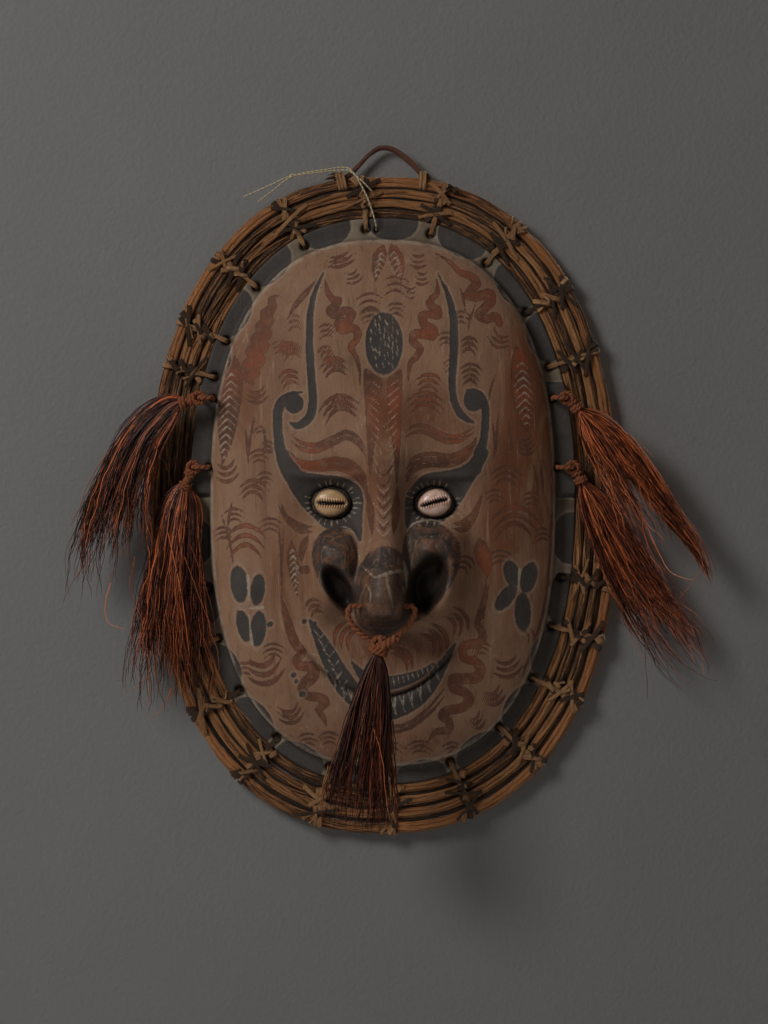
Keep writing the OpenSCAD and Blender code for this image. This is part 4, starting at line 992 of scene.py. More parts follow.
def board_piece():
    """One closed mesh: a fine front that carries the painting, and a coarser carved back."""
    KD, KW, KF = 124, 4, 11  # rings on the face, down its edge, and across the flange
    K = KD + KW + KF

    def rim(t, a, b, n):
        """The outline of half width a, half height b and power n, at angle t."""
        c, s = np.cos(t), np.sin(t)
        k = 1 / (np.abs(c) ** n + np.abs(s) ** n) ** (1 / n)
        return a * k * c, b * k * s

    def grid(count):
        """A square grid as rings: each point's ring, and its angle round the board."""
        i, j = np.meshgrid(np.arange(-count, count + 1), np.arange(-count, count + 1),
                           indexing="ij")
        k = np.maximum(np.abs(i), np.abs(j)).astype(float)
        with np.errstate(divide="ignore", invalid="ignore"):
            flat = np.where(np.abs(i) >= np.abs(j), np.pi / 4 * j / np.where(i == 0, 1, i),
                            np.pi / 2 - np.pi / 4 * i / np.where(j == 0, 1, j))
        t = np.where(np.where(np.abs(i) >= np.abs(j), i, j) < 0, flat + np.pi, flat)
        return k.ravel(), t.ravel()

    k, t = grid(K)
    fx, fz = rim(t, *FACE)
    bx, bz = rim(t, *BOARD)
    bz = bz + BOARD_CENTRE
    rho = np.clip(k / KD, 0, 1)
    x, z = fx * rho, fz * rho
    d = depth_at(x, z)
    # the face's edge rolls over and drops to the flange, which runs out to the board's edge
    past = k - KD
    roll = np.clip((KD - k) / 2.0, 0, 1)
    wave = 0.5 * np.sin(7 * t) + 0.4 * np.sin(17 * t + 1)
    d = np.where(k <= KD, d - 1.4 * (1 - roll) ** 2, d)
    wall = {1: (0.5, 17.6), 2: (1.1, 15.4), 3: (1.9, 13.0), 4: (3.2, 12.2)}
    for step, (out, depth) in wall.items():
        m = past == step
        g = out / 16
        x[m], z[m] = (fx + (bx - fx) * g)[m], (fz + (bz - fz) * g)[m]
        d[m] = depth
    m = past > KW
    g = 3.2 / 16 + (1 - 3.2 / 16) * (past - KW) / KF
    x[m], z[m] = (fx + (bx - fx) * g)[m], (fz + (bz - fz) * g)[m]
    d[m] = (FLANGE_FRONT - 0.15 + 0.2 * wave * (1 - g))[m]
    d[past == KW + KF] -= 0.7
    flange = (past >= 1).astype(float)
    # eye sockets' pockets, lugs, holes
    # painted shade: darkening in the eye pockets, the lashing holes, the nostril pits, the foot of
    # the face's edge, under the nose's tip and in the mouth's slit
    grime = np.zeros(len(x))
    for s in (-1, 1):
        r = np.sqrt(((x - s * EYE_X) / 15.6) ** 2 + (z / 12.6) ** 2)
        pocket = 1 / (1 + r**24)
        d = d * (1 - pocket) + 40.5 * pocket
        grime = np.maximum(grime, 0.25 * pocket)
        inset = np.minimum.reduce([(x * s - 122.5) / 2, (z - 5.5) / 2, (91.5 - z) / 2])
        lug = np.clip(inset, 0, 1) * (x * s > 100)
        chipped = 0.5 * np.sin(z / 5.0) * np.sin(z / 2.3 + 1)
        d = np.where(lug > 0, np.maximum(d, 12 + (4.2 + 0.4 * chipped) * lug), d)
    holes = [hole_point(a)[0] for a in LASHINGS] + [np.array(h)
            for h in LUG_HOLES] + [np.array((-5, 207.5))]
    for n, h in enumerate(holes):
        size = 3.0 if n < 20 else (2.4 if n < 24 else 1.5)
        r = np.hypot(x - h[0], z - h[1]) / size
        hole = 1 / (1 + r**6)
        d -= 7.0 * hole * (k > KD - 6)
        grime = np.maximum(grime, np.clip(1.35 * hole, 0, 1) * (k > KD - 6))
    grime = np.maximum(grime, np.clip(nostrils(x, z) / 7 - 0.2, 0, 1))
    grime = np.maximum(grime, 0.35 * np.exp(-((past - 3) / 1.0) ** 2) * (past > 0))
    # painted shade under the nose's tip
    under = np.exp(-((z + 99) / 4.5) ** 2) * np.exp(-(np.abs(x - 1) / 20) ** 4)
    grime = np.maximum(grime, 0.5 * under)
    # painted shade in the mouth's slit
    slit = np.clip(-mouth(x, z) / 3.2, 0, 1)
    grime = np.maximum(grime, 0.95 * slit)
    edge = np.exp(-((KD - k - 0.4) / 1.2) ** 2) * (k <= KD + 1)
    rise = np.maximum(nose(x, z), wings(x, z))
    wear = np.clip(0.9 * np.exp(-((rise - 52) / 9) ** 2) * (z < -48), 0, 1)
    wear = np.maximum(wear,
                      0.45 * np.exp(-((z - 27) / 6) ** 2) * np.exp(-((np.abs(x) - 30) / 18) ** 2))
    wear = np.maximum(wear, 0.55 * bump(x, z, 24, -38, 9, 12) + 0.4 * bump(x, z, 34, 60, 16, 24)
                      + 0.35 * bump(x, z, 10, 140, 9, 20))
    rust = 0.8 * bump(x, z, 110, 62, 24, 80, 2, 4) + 0.8 * bump(x, z, 2, 92, 9, 34) + 0.6 * bump(x,
            z, 34, 66, 26, 18)
    rust += 0.55 * bump(x, z, 96, -30, 34, 60) + 0.5 * bump(x, z, -72, -60, 16, 60) + 0.5 * bump(x,
            z, -108, 78, 20, 60)
    rust += 0.6 * bump(x, z, 4, -110, 40, 12) + 0.45 * bump(x, z, -2, 10, 14, 60) + 0.4 * bump(x, z,
            0, -180, 70, 12)
    rust = np.clip(1.7 * rust, 0, 1)
    red, black, white, snout = (Ink(x, z) for _ in range(4))
    paint_red(red)
    paint_black(black)
    paint_snout(snout)
    paint_white(white, np.random.default_rng(5))
    for ink in (red, white, snout):
        ink.d[k > KD + 1] = UNPAINTED
    black.d[(k <= KD + 1) & (np.abs(x) > 118)] = UNPAINTED
    d = d - 0.25 * np.clip(-black.d, 0, 1) * (k <= KD + 1)

    # the back: flat flange, then a hollow with adze marks
    kb, tb = grid(K // 2)
    kb = kb * 2
    gx, gz = rim(tb, *HOLLOW)
    ox, oz = rim(tb, *BOARD)
    oz = oz + BOARD_CENTRE
    KH = K - 19
    g = np.clip(kb / KH, 0, 1)
    w = np.clip((kb - KH) / (K - 1 - KH), 0, 1)
    x2, z2 = gx * g * (1 - w) + ox * w, gz * g * (1 - w) + oz * w
    q = (np.abs(x2) / 116) ** 2.5 + (np.abs(z2) / 185) ** 2.5
    marks = 0.9 * np.abs(np.sin(z2 / 9 + 1.3 * np.sin(x2 / 17)))
    marks = marks * np.abs(np.sin(x2 / 8 + 0.8 * np.sin(z2 / 29)))
    d2 = FLANGE_BACK + np.where(q < 1, 0.8 + 26 * np.clip(1 - q, 0, None) ** 0.6 + marks, 0)
    # painted shade in the holes at the back
    recess_shade_back = np.zeros(len(x2))
    for n, h in enumerate(holes):
        r = np.hypot(x2 - h[0], z2 - h[1]) / 3.2
        hole = 1 / (1 + r**6)
        d2 = d2 + 3.0 * hole * (w > 0.05)
        recess_shade_back = np.maximum(recess_shade_back, hole)

    shape = Shape()
    side = 2 * K + 1
    idx = np.arange(side * side).reshape(side, side)
    quads = np.stack([idx[:-1, :-1], idx[:-1, 1:], idx[1:, 1:], idx[1:, :-1]], -1).reshape(-1, 4)
    half = 2 * (K // 2) + 1
    jdx = np.arange(half * half).reshape(half, half) + side * side
    backs = np.stack([jdx[:-1, :-1], jdx[1:, :-1], jdx[1:, 1:], jdx[:-1, 1:]], -1).reshape(-1, 4)

    def loop(a):
        return np.concatenate([a[0, :-1], a[:-1, -1], a[-1, :0:-1], a[:0:-1, 0]])

    outer, inner = loop(idx), loop(jdx)
    strip = []
    ratio = len(outer) / len(inner)
    i = j = 0
    while i < len(outer) or j < len(inner):
        if j >= len(inner) or (i < len(outer) and (i + 1) / ratio <= j + 1):
            strip.append((outer[i % len(outer)], inner[j % len(inner)],
                          outer[(i + 1) % len(outer)]))
            i += 1
        else:
            strip.append((outer[i % len(outer)], inner[j % len(inner)],
                          inner[(j + 1) % len(inner)]))
            j += 1
    plain = np.zeros(len(x2))
    bare = plain + UNPAINTED
    shape.v = [np.column_stack([x, d, z]), np.column_stack([x2, d2, z2])]
    shape.f = quads.tolist() + backs.tolist() + [tuple(int(v) for v in s) for s in strip]
    shape.n = len(x) + len(x2)
    for name, front, rear in [("red", red.d, bare), ("black", black.d, bare),
            ("white", white.d, bare),
                              ("snout", snout.d, bare), ("flange", flange, plain),
                                      ("grime", grime, recess_shade_back),
                              ("edge", edge, plain), ("wear", wear, plain), ("rust", rust, plain),
                              ("back", np.zeros(len(x)), plain + 1)]:
        shape.a[name] = [front, rear]
    shape.piece("carved_board", "mask", BOARD_PAINT, ["mask_board"])


board_piece()


# ---------------------------------------------------------------- the cane rim

def rim_ring(a, count=720):
    """The centreline of the cane ring of half width a, as (x, z), evenly spaced."""
    k = (a - BOARD[0]) / RIM_WIDTH
    t = np.linspace(0, 2 * np.pi, 2881)
    c, s = np.cos(t), np.sin(t)
    b, power = BOARD[1] + (RIM_WIDTH + RIM_EXTRA) * k, BOARD[2]
    r = 1 / (np.abs(c / a) ** power + np.abs(s / b) ** power) ** (1 / power)
    p, _ = resample(np.column_stack([r * c, r * s]), count + 1)
    p[:, 1] += BOARD_CENTRE - 3.5 * k
    return p[:-1]


def ring_normals(p):
    t = np.roll(p, -1, 0) - np.roll(p, 1, 0)
    n = np.column_stack([t[:, 1], -t[:, 0]])
    return n / np.linalg.norm(n, axis=1)[:, None]


def ring_near(p, t):
    """Where a ring is crossed by the lashing at angle t."""
    q, g = hole_point(t)
    e = np.array([math.cos(g), math.sin(g)])
    u = (p - q) @ e
    v = np.abs((p - q) @ np.array([-e[1], e[0]]))
    return int(np.argmin(v + np.where(u < 0, 1e3, 0)))


def canes():
    """Each ring is made of lengths of split cane, side by side, that overlap where one ends and the
    next begins. Some of the lengths between two lashings are stained black."""
    rings = [("rim_front_cane_1", 149.4, 1.0, 9.0, TAN, "tan_cane", 3, 7),
             ("rim_front_cane_2", 157.0, 1.0, 9.3, TAN, "tan_cane", 3, 6),
             ("rim_front_cane_3", 164.6, 1.0, 9.1, TAN, "tan_cane", 3, 7),
             ("rim_front_cane_4", 173.9, 1.22, 8.8, BARK, "bark_cane", 3, 4),
             ("rim_dark_cane_1", 153.2, 0.9, 7.4, BLACKENED, "dark_cane", 1, 4),
             ("rim_dark_cane_2", 160.8, 0.9, 7.4, BLACKENED, "dark_cane", 1, 4),
             ("rim_dark_cane_3", 168.6, 0.9, 7.4, BLACKENED, "dark_cane", 1, 4),
             ("rim_back_cane_1", 149.4, 1.5, 3.7, TAN, "tan_cane", 1, 4),
             ("rim_back_cane_2", 157.0, 1.5, 3.7, TAN, "tan_cane", 1, 4),
             ("rim_back_cane_3", 164.6, 1.5, 3.7, TAN, "tan_cane", 1, 4),
             ("rim_back_cane_4", 173.9, 1.9, 3.7, BARK, "bark_cane", 1, 3)]
    split = [(-2.0, 1.5, 0.1), (0.9, 1.55, 0.45), (3.1, 0.95, -0.7)]  # offset, half width, lift
    for number, (name, a, grow, depth, material, slot, strands, lengths) in enumerate(rings):
        rng = np.random.default_rng(40 + number)
        p = rim_ring(a)
        n = len(p)
        out = ring_normals(p)
        at = [ring_near(p, t) for t in LASHINGS]
        pinch, lift = np.zeros(n), np.zeros(n)
        front = "back" not in name
        for i in at:
            gap = (np.arange(n) - i + n // 2) % n - n // 2
            near = np.exp(-(gap / 5.5) ** 2)
            pinch += near * rng.uniform(-0.9, 0.6)
            lift -= near * (0.5 if front else 0.0)
            pinch += np.exp(-((gap - 9) / 9.0) ** 2) * rng.uniform(-0.5, 0.5)
        order = np.sort(np.array(at))
        gaps = np.searchsorted(order, np.arange(n)) % len(order)
        stained = (rng.random(len(order)) < (0.42 if slot == "tan_cane" else 0.22)).astype(float)
        stain = np.convolve(np.tile(stained[gaps], 3), np.ones(7) / 7, "same")[n : 2 * n]
        shape = Shape()
        arc = np.linalg.norm(np.roll(p, -1, 0) - p, axis=1).sum() / n
        for strand in range(strands):
            starts = np.arange(lengths) + rng.uniform(-0.3, 0.3, lengths)
            starts = np.sort(starts * n / lengths).astype(int)
            side, half, up = split[strand] if strands == 3 else (0.0, 1.6, 0.0)
            for j, start in enumerate(starts):
                end = (starts[(j + 1) % lengths] - start) % n
                over = int(rng.uniform(4, 10))
                i = np.arange(-over, end + over)
                m = (start + i) % n
                s = i * arc
                seed = 100 * number + 20 * strand + j
                r = half * grow * (1 + 0.10 * fuzz(s, seed, 0.06))
                joint = rng.uniform(0, 90)
                r = r * (1 + 0.16 * np.exp(-(((s + joint) % 120 - 60) / 2.4) ** 2))
                ends = np.minimum(i + over, end + over - i)
                r = r * np.clip(0.6 + ends / 3.5, 0, 1)
                spread, inward = (0.9, 0) if a < 170 else (0.8, 0.35)
                shift = pinch[m] + side * grow * spread + 0.42 * fuzz(s, seed + 7, 0.05) - inward
                duck = np.exp(-ends / 4.0) * rng.uniform(0.2, 0.9)
                d = depth + up + lift[m] + 0.42 * fuzz(s, seed + 9, 0.055) - duck
                if not front:
                    d = np.clip(d, 3.0, 4.4)
                path = np.column_stack([p[m, 0] + out[m, 0] * shift, d,
                        p[m, 1] + out[m, 1] * shift])
                cut = np.clip(1 - ends / 1.5, 0, 1)
                mark = np.clip(stain[m] + 0.25 * fuzz(s, seed + 3, 0.11), 0, 1)
                shape.tube(path, r, 9, flat=1.22 if front else 1.15, seed=seed * 1.37, cut=cut,
                           stain=mark)
        if slot == "tan_cane" and front:  # slivers that have lifted
            for k in range(26):
                i = int(rng.integers(0, n))
                m = (i + np.arange(0, int(rng.uniform(9, 26)))) % n
                e = np.linspace(0, 1, len(m))
                shift = rng.uniform(-3, 3) + rng.uniform(-4, 4) * e
                d = depth + 2.3 + 0.9 * np.sin(np.pi * e) * rng.uniform(0.2, 1)
                shape.tube(np.column_stack([p[m, 0] + out[m, 0] * shift, d,
                        p[m, 1] + out[m, 1] * shift]),
                           0.55 * np.clip(np.minimum(e, 1 - e) * 8 + 0.25, 0, 1), 5, flat=0.6,
                           seed=k * 3.1 + number, stain=float(rng.random() < 0.35))
        shape.piece(name, "mask", material)


def wrap_points(centre, across, half, low, high, slip):
    """A round of strip about a bundle: across is the way out from the board, in the rim's plane."""
    w = np.linspace(0, 2 * np.pi, 27)
    c, s = np.cos(w), np.sin(w)
    u = half * np.sign(c) * np.abs(c) ** 0.72
    d = (low + high) / 2 + (high - low) / 2 * np.sign(s) * np.abs(s) ** 0.72
    along = np.array([-across[1], across[0]])
    v = slip * w / (2 * np.pi)
    x = centre[0] + across[0] * u + along[0] * v
    z = centre[1] + across[1] * u + along[1] * v
    return np.column_stack([x, d, z])


def level(way):
    """Across a strip that runs this way and lies flat."""
    lay = np.array([-way[1], 0, way[0]])
    return lay / np.linalg.norm(lay)


def lashings():
    """Each lashing is a strip from its hole, woven out over the canes and back behind them, with
    short wraps that step from cane to cane."""
    tracks = [149.4, 157.0, 164.6, 174.2]
    rings = [rim_ring(a) for a in tracks]
    for number, t in enumerate(LASHINGS):
        rng = np.random.default_rng(300 + number)
        q, g = hole_point(t)
        e = np.array([math.cos(g), math.sin(g)])
        along = np.array([-e[1], e[0]])
        reach = [float((ring[ring_near(ring, t)] - q) @ e) for ring in rings]
        end = reach[3] + 4.2
        shape = Shape()
        # the long strip: over the first cane, under the second, over the third and fourth
        slant = rng.uniform(-2.2, 2.2)
        first, second, third, last = reach
        route = [(-0.2, 10.5), (1.6, 13.0), (first - 3, 13.1), (first, 13.4), (first + 3, 12.9),
                 (second, 12.7), (second + 3.8, 12.4), (third, 13.2), (third + 4.2, 12.2),
                 (last, 13.1), (end - 0.8, 12.0), (end + 0.2, 9.0), (end + 0.1, 4.6),
                 (end - 1.2, 1.3), (third, 0.9), (second, 0.9), (first, 0.9), (2.0, 1.5),
                 (-0.3, 3.8)]
        p = spline(route + route[:1], 4)[:-1]
        share = p[:, 0] / end
        xy = q[None, :] + p[:, :1] * e + (slant * share)[:, None] * along
        path = np.column_stack([xy[:, 0], p[:, 1], xy[:, 1]])
        back = p[:, 1] < 6
        width = np.where(back, 4.2, 3.2 + 0.6 * np.sin(p[:, 0] * 0.5 + number))
        flat = np.array([along[0], 0, along[1]])
        shape.ribbon(path, flat, width, 0.8, closed=True, seed=float(number) * 1.9,
                     stain=float(rng.random() < 0.3))
        # steps from cane to cane
        way = 1 if rng.random() < 0.6 else -1
        for k, r in enumerate(reach):
            half = 3.3 if k < 3 else 4.1
            count = 2 if rng.random() < 0.7 else 1
            for m in range(count):
                slide = way * (k - 1.3) * 2.2 + (m - (count - 1) / 2) * rng.uniform(3.6, 4.8)
                slide += rng.uniform(-0.9, 0.9)
                angle = way * rng.uniform(0.15, 0.75)
                across = e * math.cos(angle) + along * math.sin(angle)
                c = q + e * r + along * slide
                turns = wrap_points(c, across, half, 5.8, 12.7 + 0.4 * (m + k % 2),
                        rng.uniform(-1.4, 1.4))
                lay = np.array([-across[1], 0, across[0]])
                seed = number * 7.3 + k * 1.7 + m
                shape.ribbon(turns, lay, rng.uniform(3.0, 4.8), 0.75, seed=seed,
                             stain=float(rng.random() < 0.58))
        # strips crossing on the slant, and cut ends left standing
        for k in range(3):
            if rng.random() < 0.25:
                continue
            w = rng.uniform(3.0, 6.5) * rng.choice((-1, 1))
            a, b = q + e * (reach[k] - 2.2) - along * w, q + e * (reach[k + 1] + 2.2) + along * w
            low, high = a * 0.7 + b * 0.3, a * 0.3 + b * 0.7
            top = rng.uniform(13.4, 14.4)
            cross = spline([(a[0], 10.8, a[1]), (low[0], top, low[1]),
                            ((a + b)[0] / 2, top - 0.2, (a + b)[1] / 2), (high[0], top, high[1]),
                            (b[0], 10.8, b[1])], 4)
            shape.ribbon(cross, level(b - a), rng.uniform(2.4, 4.0), 0.8, seed=number + 77.0 + k,
                         stain=float(rng.random() < 0.5))
        for _ in range(3):  # long strips that run on between the canes
            k = int(rng.integers(0, 3))
            w = rng.uniform(8, 17)
            lean = rng.choice((-1, 1))
            a = q + e * (reach[k] - 1) - along * w * lean
            b = q + e * (reach[k + 1] + 1) + along * w * lean
            u = np.linspace(0, 1, 6)[:, None]
            mid = a + (b - a) * u
            top = 11.6 + 2.2 * np.sin(np.pi * u[:, 0])
            # follow the rim's own curve on the way
            dist = ((mid - q) @ along)
            mid = mid - e * (dist ** 2 / 2 / 190)[:, None]
            run = spline(np.column_stack([mid[:, 0], top, mid[:, 1]]), 4)
            shape.ribbon(run, level(b - a), rng.uniform(1.8, 3.4), 0.8, seed=number + 91.0 + k,
                         stain=float(rng.random() < 0.5))
        for _ in range(int(rng.integers(1, 4))):
            k = int(rng.integers(0, 4))
            a = q + e * (reach[k] - 2) + along * rng.uniform(-5, 5)
            b = a + e * rng.uniform(3, 6) + along * rng.uniform(-5, 5)
            stub = spline([(a[0], 12.4, a[1]), ((a + b)[0] / 2, 13.8, (a + b)[1] / 2),
                           (b[0], 14.8, b[1])], 4)
            shape.tube(stub, rng.uniform(0.9, 1.6), 7, flat=0.7, seed=number + 5.5 + k,
                       cut=np.linspace(0, 1, len(stub)) ** 6)
        shape.piece(f"rim_lashing_{number + 1:02d}", "mask", STRIP)


canes()
lashings()


# ---------------------------------------------------------------- the hanging loop and the peg

def loop_parts():
    """The hanging loop of three strips side by side, the bindings round its feet, and the peg."""
    route = [(-37, 247.4), (-31.5, 246.6), (-26.5, 249.4), (-19.5, 256.5), (-11.5, 264.8),
             (-4.5, 269.8), (1, 270.9), (8, 269.2), (16, 264),
             (23.5, 257.4), (29.5, 251), (36.5, 247.6)]
    p = spline(route, 8)
    s = distance(p)
    side = np.column_stack([-np.gradient(p[:, 1]), np.gradient(p[:, 0])])
    side /= np.linalg.norm(side, axis=1)[:, None]
    shape = Shape()
    for k, (off, deep, r, flat) in enumerate([(-0.75, 6.6, 1.5, 1.75), (0.8, 6.2, 1.35, 1.8),
            (0.1, 8.4, 0.95, 0.9)]):
        turn = off * np.cos(s * 0.035 + k) + 0.15 * fuzz(s, 60 + k, 0.07)
        q = p + side * turn[:, None]
        d = deep + 0.35 * np.sin(s * 0.04 + 2 * k)
        size = r * (1 + 0.05 * fuzz(s, 64 + k, 0.12)) * np.clip(0.5 + np.minimum(s, s[-1] - s) / 3,
                0, 1)
        shape.tube(np.column_stack([q[:, 0], d, q[:, 1]]), size, 10, flat=flat, seed=31.0 + k)
    rng = np.random.default_rng(66)
    for k in range(7):  # frayed ends of the strip at the left foot
        a = np.array([-31.5 + rng.uniform(-2, 2), rng.uniform(8.5, 11.5),
                      249 + rng.uniform(-1.5, 1.5)])
        b = a + np.array([rng.uniform(-9, -5), rng.uniform(0.4, 1.6), rng.uniform(-2.2, 2.6)])
        c = b + np.array([rng.uniform(-6, -2), rng.uniform(-0.6, 0.8), rng.uniform(-2.4, 2.4)])
        shape.tube(spline([a, b, c], 4), np.linspace(0.9, 0.3, 9), 5, flat=0.5, seed=33.0 + k)
    shape.piece("hanging_loop", "mask", LOOP)

    for name, x, width, turns in [("loop_binding_left", -32.5, 7.0, 3),
            ("loop_binding_right", 31.6, 5.6, 2)]:
        ring = rim_ring(170.1, 1440)
        i = int(np.argmin(np.hypot(ring[:, 0] - x, ring[:, 1] - 250)))
        e = ring_normals(ring)[i]
        along = np.array([-e[1], e[0]])
        shape = Shape()
        for k in range(turns):
            c = ring[i] + e * 6.4 + along * (k - (turns - 1) / 2) * width / turns
            rise = 0.2 * (k % 2)
            turn = wrap_points(c, e * math.cos(0.12) + along * math.sin(0.12), 7.0 - rise, 0.9,
                    12.9 + rise, width / turns * 0.5)
            shape.ribbon(turn, (along[0], 0, along[1]), width / turns * 0.96, 0.8, seed=41.0 + k)
        shape.piece(name, "mask", STRIP)

    shape = Shape()
    peg = np.array([(55, 11.6, 237), (55.1, 14, 237.1), (54.9, 16.5, 237.5), (55.3, 18.6, 237.9),
                    (55.2, 19.8, 238.1)])
    shape.tube(spline(peg, 4), np.r_[np.linspace(2.6, 2.1, 13), 1.9, 1.7, 1.4, 1.0], 11, seed=47.0,
               cut=np.linspace(0, 1, 17) ** 8)
    for k in range(5):
        a = 2 * np.pi * k / 5
        root = np.array([55 + 1.4 * math.cos(a), 18.4, 237.8 + 1.4 * math.sin(a)])
        shape.tube(spline([root, root + (0.2 * math.cos(a), 1.0, 0.2 * math.sin(a)),
                           root + (0.5 * math.cos(a), 1.5 + 0.2 * k, 0.5 * math.sin(a))], 3),
                   np.linspace(0.5, 0.12, 7), 4, seed=48.0 + k, cut=0.4)
    shape.piece("rim_tie_peg", "mask", BARK)


loop_parts()


# ---------------------------------------------------------------- the eyes

def eye(side, tilt, material, name):
    """A cowrie set belly out in a bed of gum, its toothed slit like a closed eye."""
    c, s = math.cos(math.radians(tilt)), math.sin(math.radians(tilt))
    R, T = 60, 120
    r = np.repeat(np.arange(1, R + 1) / R, T) ** 0.85
    w = np.tile(2 * np.pi * np.arange(T) / T, R)
    u, v = COWRIE[0] * r * np.cos(w), COWRIE[1] * r * np.sin(w)
    pear = 1 + 0.07 * np.cos(w) * side
    v = v * (pear - 0.04 * np.cos(2 * w))
    high = 8.0 * np.sqrt(np.clip(1 - r**2, 0, 1)) ** 0.75
    y = v - 0.5 * np.sin(u / 9 + side)
    run = np.clip(1 - (np.abs(u) / 11.6) ** 8, 0, 1)
    slit = np.exp(-(y / (1.6 + 0.3 * (u * side > 0)
                         + 0.42 * np.cos(2 * np.pi * u / 1.9 + 2.0 * (y > 0)))) ** 2) * run
    lips = np.exp(-((np.abs(y) - 2.0) / 1.3) ** 2) * run
    comb = 0.5 + 0.5 * np.cos(2 * np.pi * u / 1.9 + 2.0 * (y > 0))
    teeth = run * comb ** 1.2 * np.clip(1 - (np.abs(y) - 1.2) / 2.8, 0, 1)
    high = high + 0.7 * lips - 3.2 * slit + 0.4 * (lips * (1 - comb))
    high = high - 0.5 * np.exp(-(v / 4) ** 2) * run
    X, Z = u * c - v * s, u * s + v * c
    d = EYE_DEPTH + high * 0.96
    shape = Shape()
    top = np.column_stack([side * EYE_X + X, d, Z])
    centre = [[side * EYE_X, EYE_DEPTH + 8 - 2.4, 0]]
    under = []
    for k in (0.97, 0.8, 0.5, 0.0001):
        ring = top[-T:].copy()
        ring[:, 0] = side * EYE_X + (ring[:, 0] - side * EYE_X) * k
        ring[:, 2] *= k
        ring[:, 1] = EYE_DEPTH - 6 * math.sqrt(1 - k * k) if k > 0.001 else 40.7
        under.append(ring)
    under = np.vstack(under)
    verts = np.vstack([centre, top, under])
    faces = [(0, 1 + (k + 1) % T, 1 + k) for k in range(T)]
    for i in range(R + 3):
        for k in range(T):
            a, b = 1 + i * T + k, 1 + i * T + (k + 1) % T
            faces.append((a, b, b + T, a + T))
    faces.append(tuple(1 + (R + 3) * T + k for k in range(T)))
    extra = len(under)
    edge = np.clip((r - 0.80) / 0.2, 0, 1) ** 1.5
    pad = np.zeros(extra)
    shape.add(verts, faces, rim=np.r_[0, edge, pad + 1], teeth=np.r_[0, teeth, pad],
              slit=np.r_[1, slit, pad])
    shape.piece("eye_cowrie_" + name, "mask", material)

    T = 90
    w = 2 * np.pi * np.arange(T) / T
    lump = 0.03 * fuzz(w, 92 + side, 3.0) + 0.02 * np.sin(11 * w + side)
    rows = [(0.90, 37.4), (0.975, 38.2), (0.985, 41.0), (0.965, 43.4), (0.93, 45.0), (0.885, 45.9),
        (0.84, 45.8), (0.80, 44.6), (0.72, 42.6), (0.4, 40.5)]
    verts = []
    for i, (k, deep) in enumerate(rows):
        q = k * (1 + lump * (2 < i < 8) * 0.8)
        deep = deep + (0.35 * fuzz(w, 95 + i, 4.0) - 0.3) * (3 <= i <= 7)
        verts.append(np.column_stack([side * EYE_X + GUM_BED[0] * q * np.cos(w),
                np.broadcast_to(deep, w.shape), GUM_BED[1] * q * np.sin(w)]))
    m = len(rows)
    faces = [(i * T + k, (i + 1) * T + k, (i + 1) * T + (k + 1) % T, i * T + (k + 1) % T)
             for i in range(m - 1) for k in range(T)]
    faces += [tuple(range(T)), tuple((m - 1) * T + k for k in range(T))[::-1]]
    shape = Shape()
    shape.add(np.vstack(verts), faces)
    shape.piece("eye_gum_" + name, "mask", GUM)


eye(-1, -3, COWRIE_YELLOW, "left")
eye(1, 14, COWRIE_PINK, "right")


# ---------------------------------------------------------------- cords, knots and tassels

def side_cord(name, side, x0, x1, d1, z, seed):
    """A twisted cord through a hole in the lug and round the board's edge."""
    c, pts = 3.4, []
    for cx, cd, a0 in [(x1 - c, d1 - c, 0), (x0 + c, d1 - c, 90), (x0 + c, 2.15 + c, 180),
                       (x1 - c, 2.15 + c, 270)]:
        for k in range(7):
            a = math.radians(a0 + 15 * k)
            pts.append((side * (cx + c * math.cos(a)), cd + c * math.sin(a),
                        z + 0.35 * math.sin(2.0 * len(pts))))
    shape = Shape()
    twisted(shape, pts, 1.75, 7.5, seed, per=0.9, sides=7, closed=True, hairy=0.25)
    shape.piece(name, "mask", CORD)


def coils(shape, centre, axis, across, radius, thick, count, pitch, seed):
    """Turns of twisted cord round an axis."""
    axis, across = np.asarray(axis, float), np.asarray(across, float)
    other = np.cross(axis, across)
    w = np.linspace(0, 2 * np.pi * count, int(26 * count))
    rise = (w / (2 * np.pi) - count / 2) * pitch
    ring = np.cos(w)[:, None] * across + np.sin(w)[:, None] * other
    p = np.asarray(centre, float) + radius * ring + rise[:, None] * axis
    twisted(shape, p, thick, 6.0, seed, per=0.9, sides=6)


def hairs(shape, paths, radius, seeds, sides=3):
    """Many fibres at once: paths is fibres by points by 3, in (x, depth, height)."""
    F, M, _ = paths.shape
    t = np.gradient(paths, axis=1)
    t /= np.linalg.norm(t, axis=2)[..., None] + 1e-9
    a = np.cross(t, np.array([0.05, 1.0, 0.02]))
    a /= np.linalg.norm(a, axis=2)[..., None] + 1e-9
    b = np.cross(t, a)
    w = 2 * np.pi * np.arange(sides) / sides
    ring = np.cos(w)[None, None, :, None] * a[:, :, None] + np.sin(w)[None, None, :, None] * b[:, :,
            None]
    verts = (paths[:, :, None] + radius[..., None, None] * ring).reshape(-1, 3)
    i = np.arange(M - 1)[:, None] * sides
    k = np.arange(sides)[None]
    n = (k + 1) % sides
    quad = np.stack([i + k, i + n, i + sides + n, i + sides + k], -1).reshape(-1, 4)
    faces = (np.arange(F)[:, None, None] * M * sides + quad[None]).reshape(-1, 4).tolist()
    caps = (np.arange(F)[:, None] * M * sides + np.arange(sides)[::-1][None]).tolist()
    tips = (np.arange(F)[:, None] * M * sides + (M - 1) * sides + np.arange(sides)[None]).tolist()
    shape.add(verts, faces + caps + tips, seed=np.repeat(seeds, M * sides))


SPRAY = "right_upper_spray"  # a second bundle on the same knot, with no node of its own


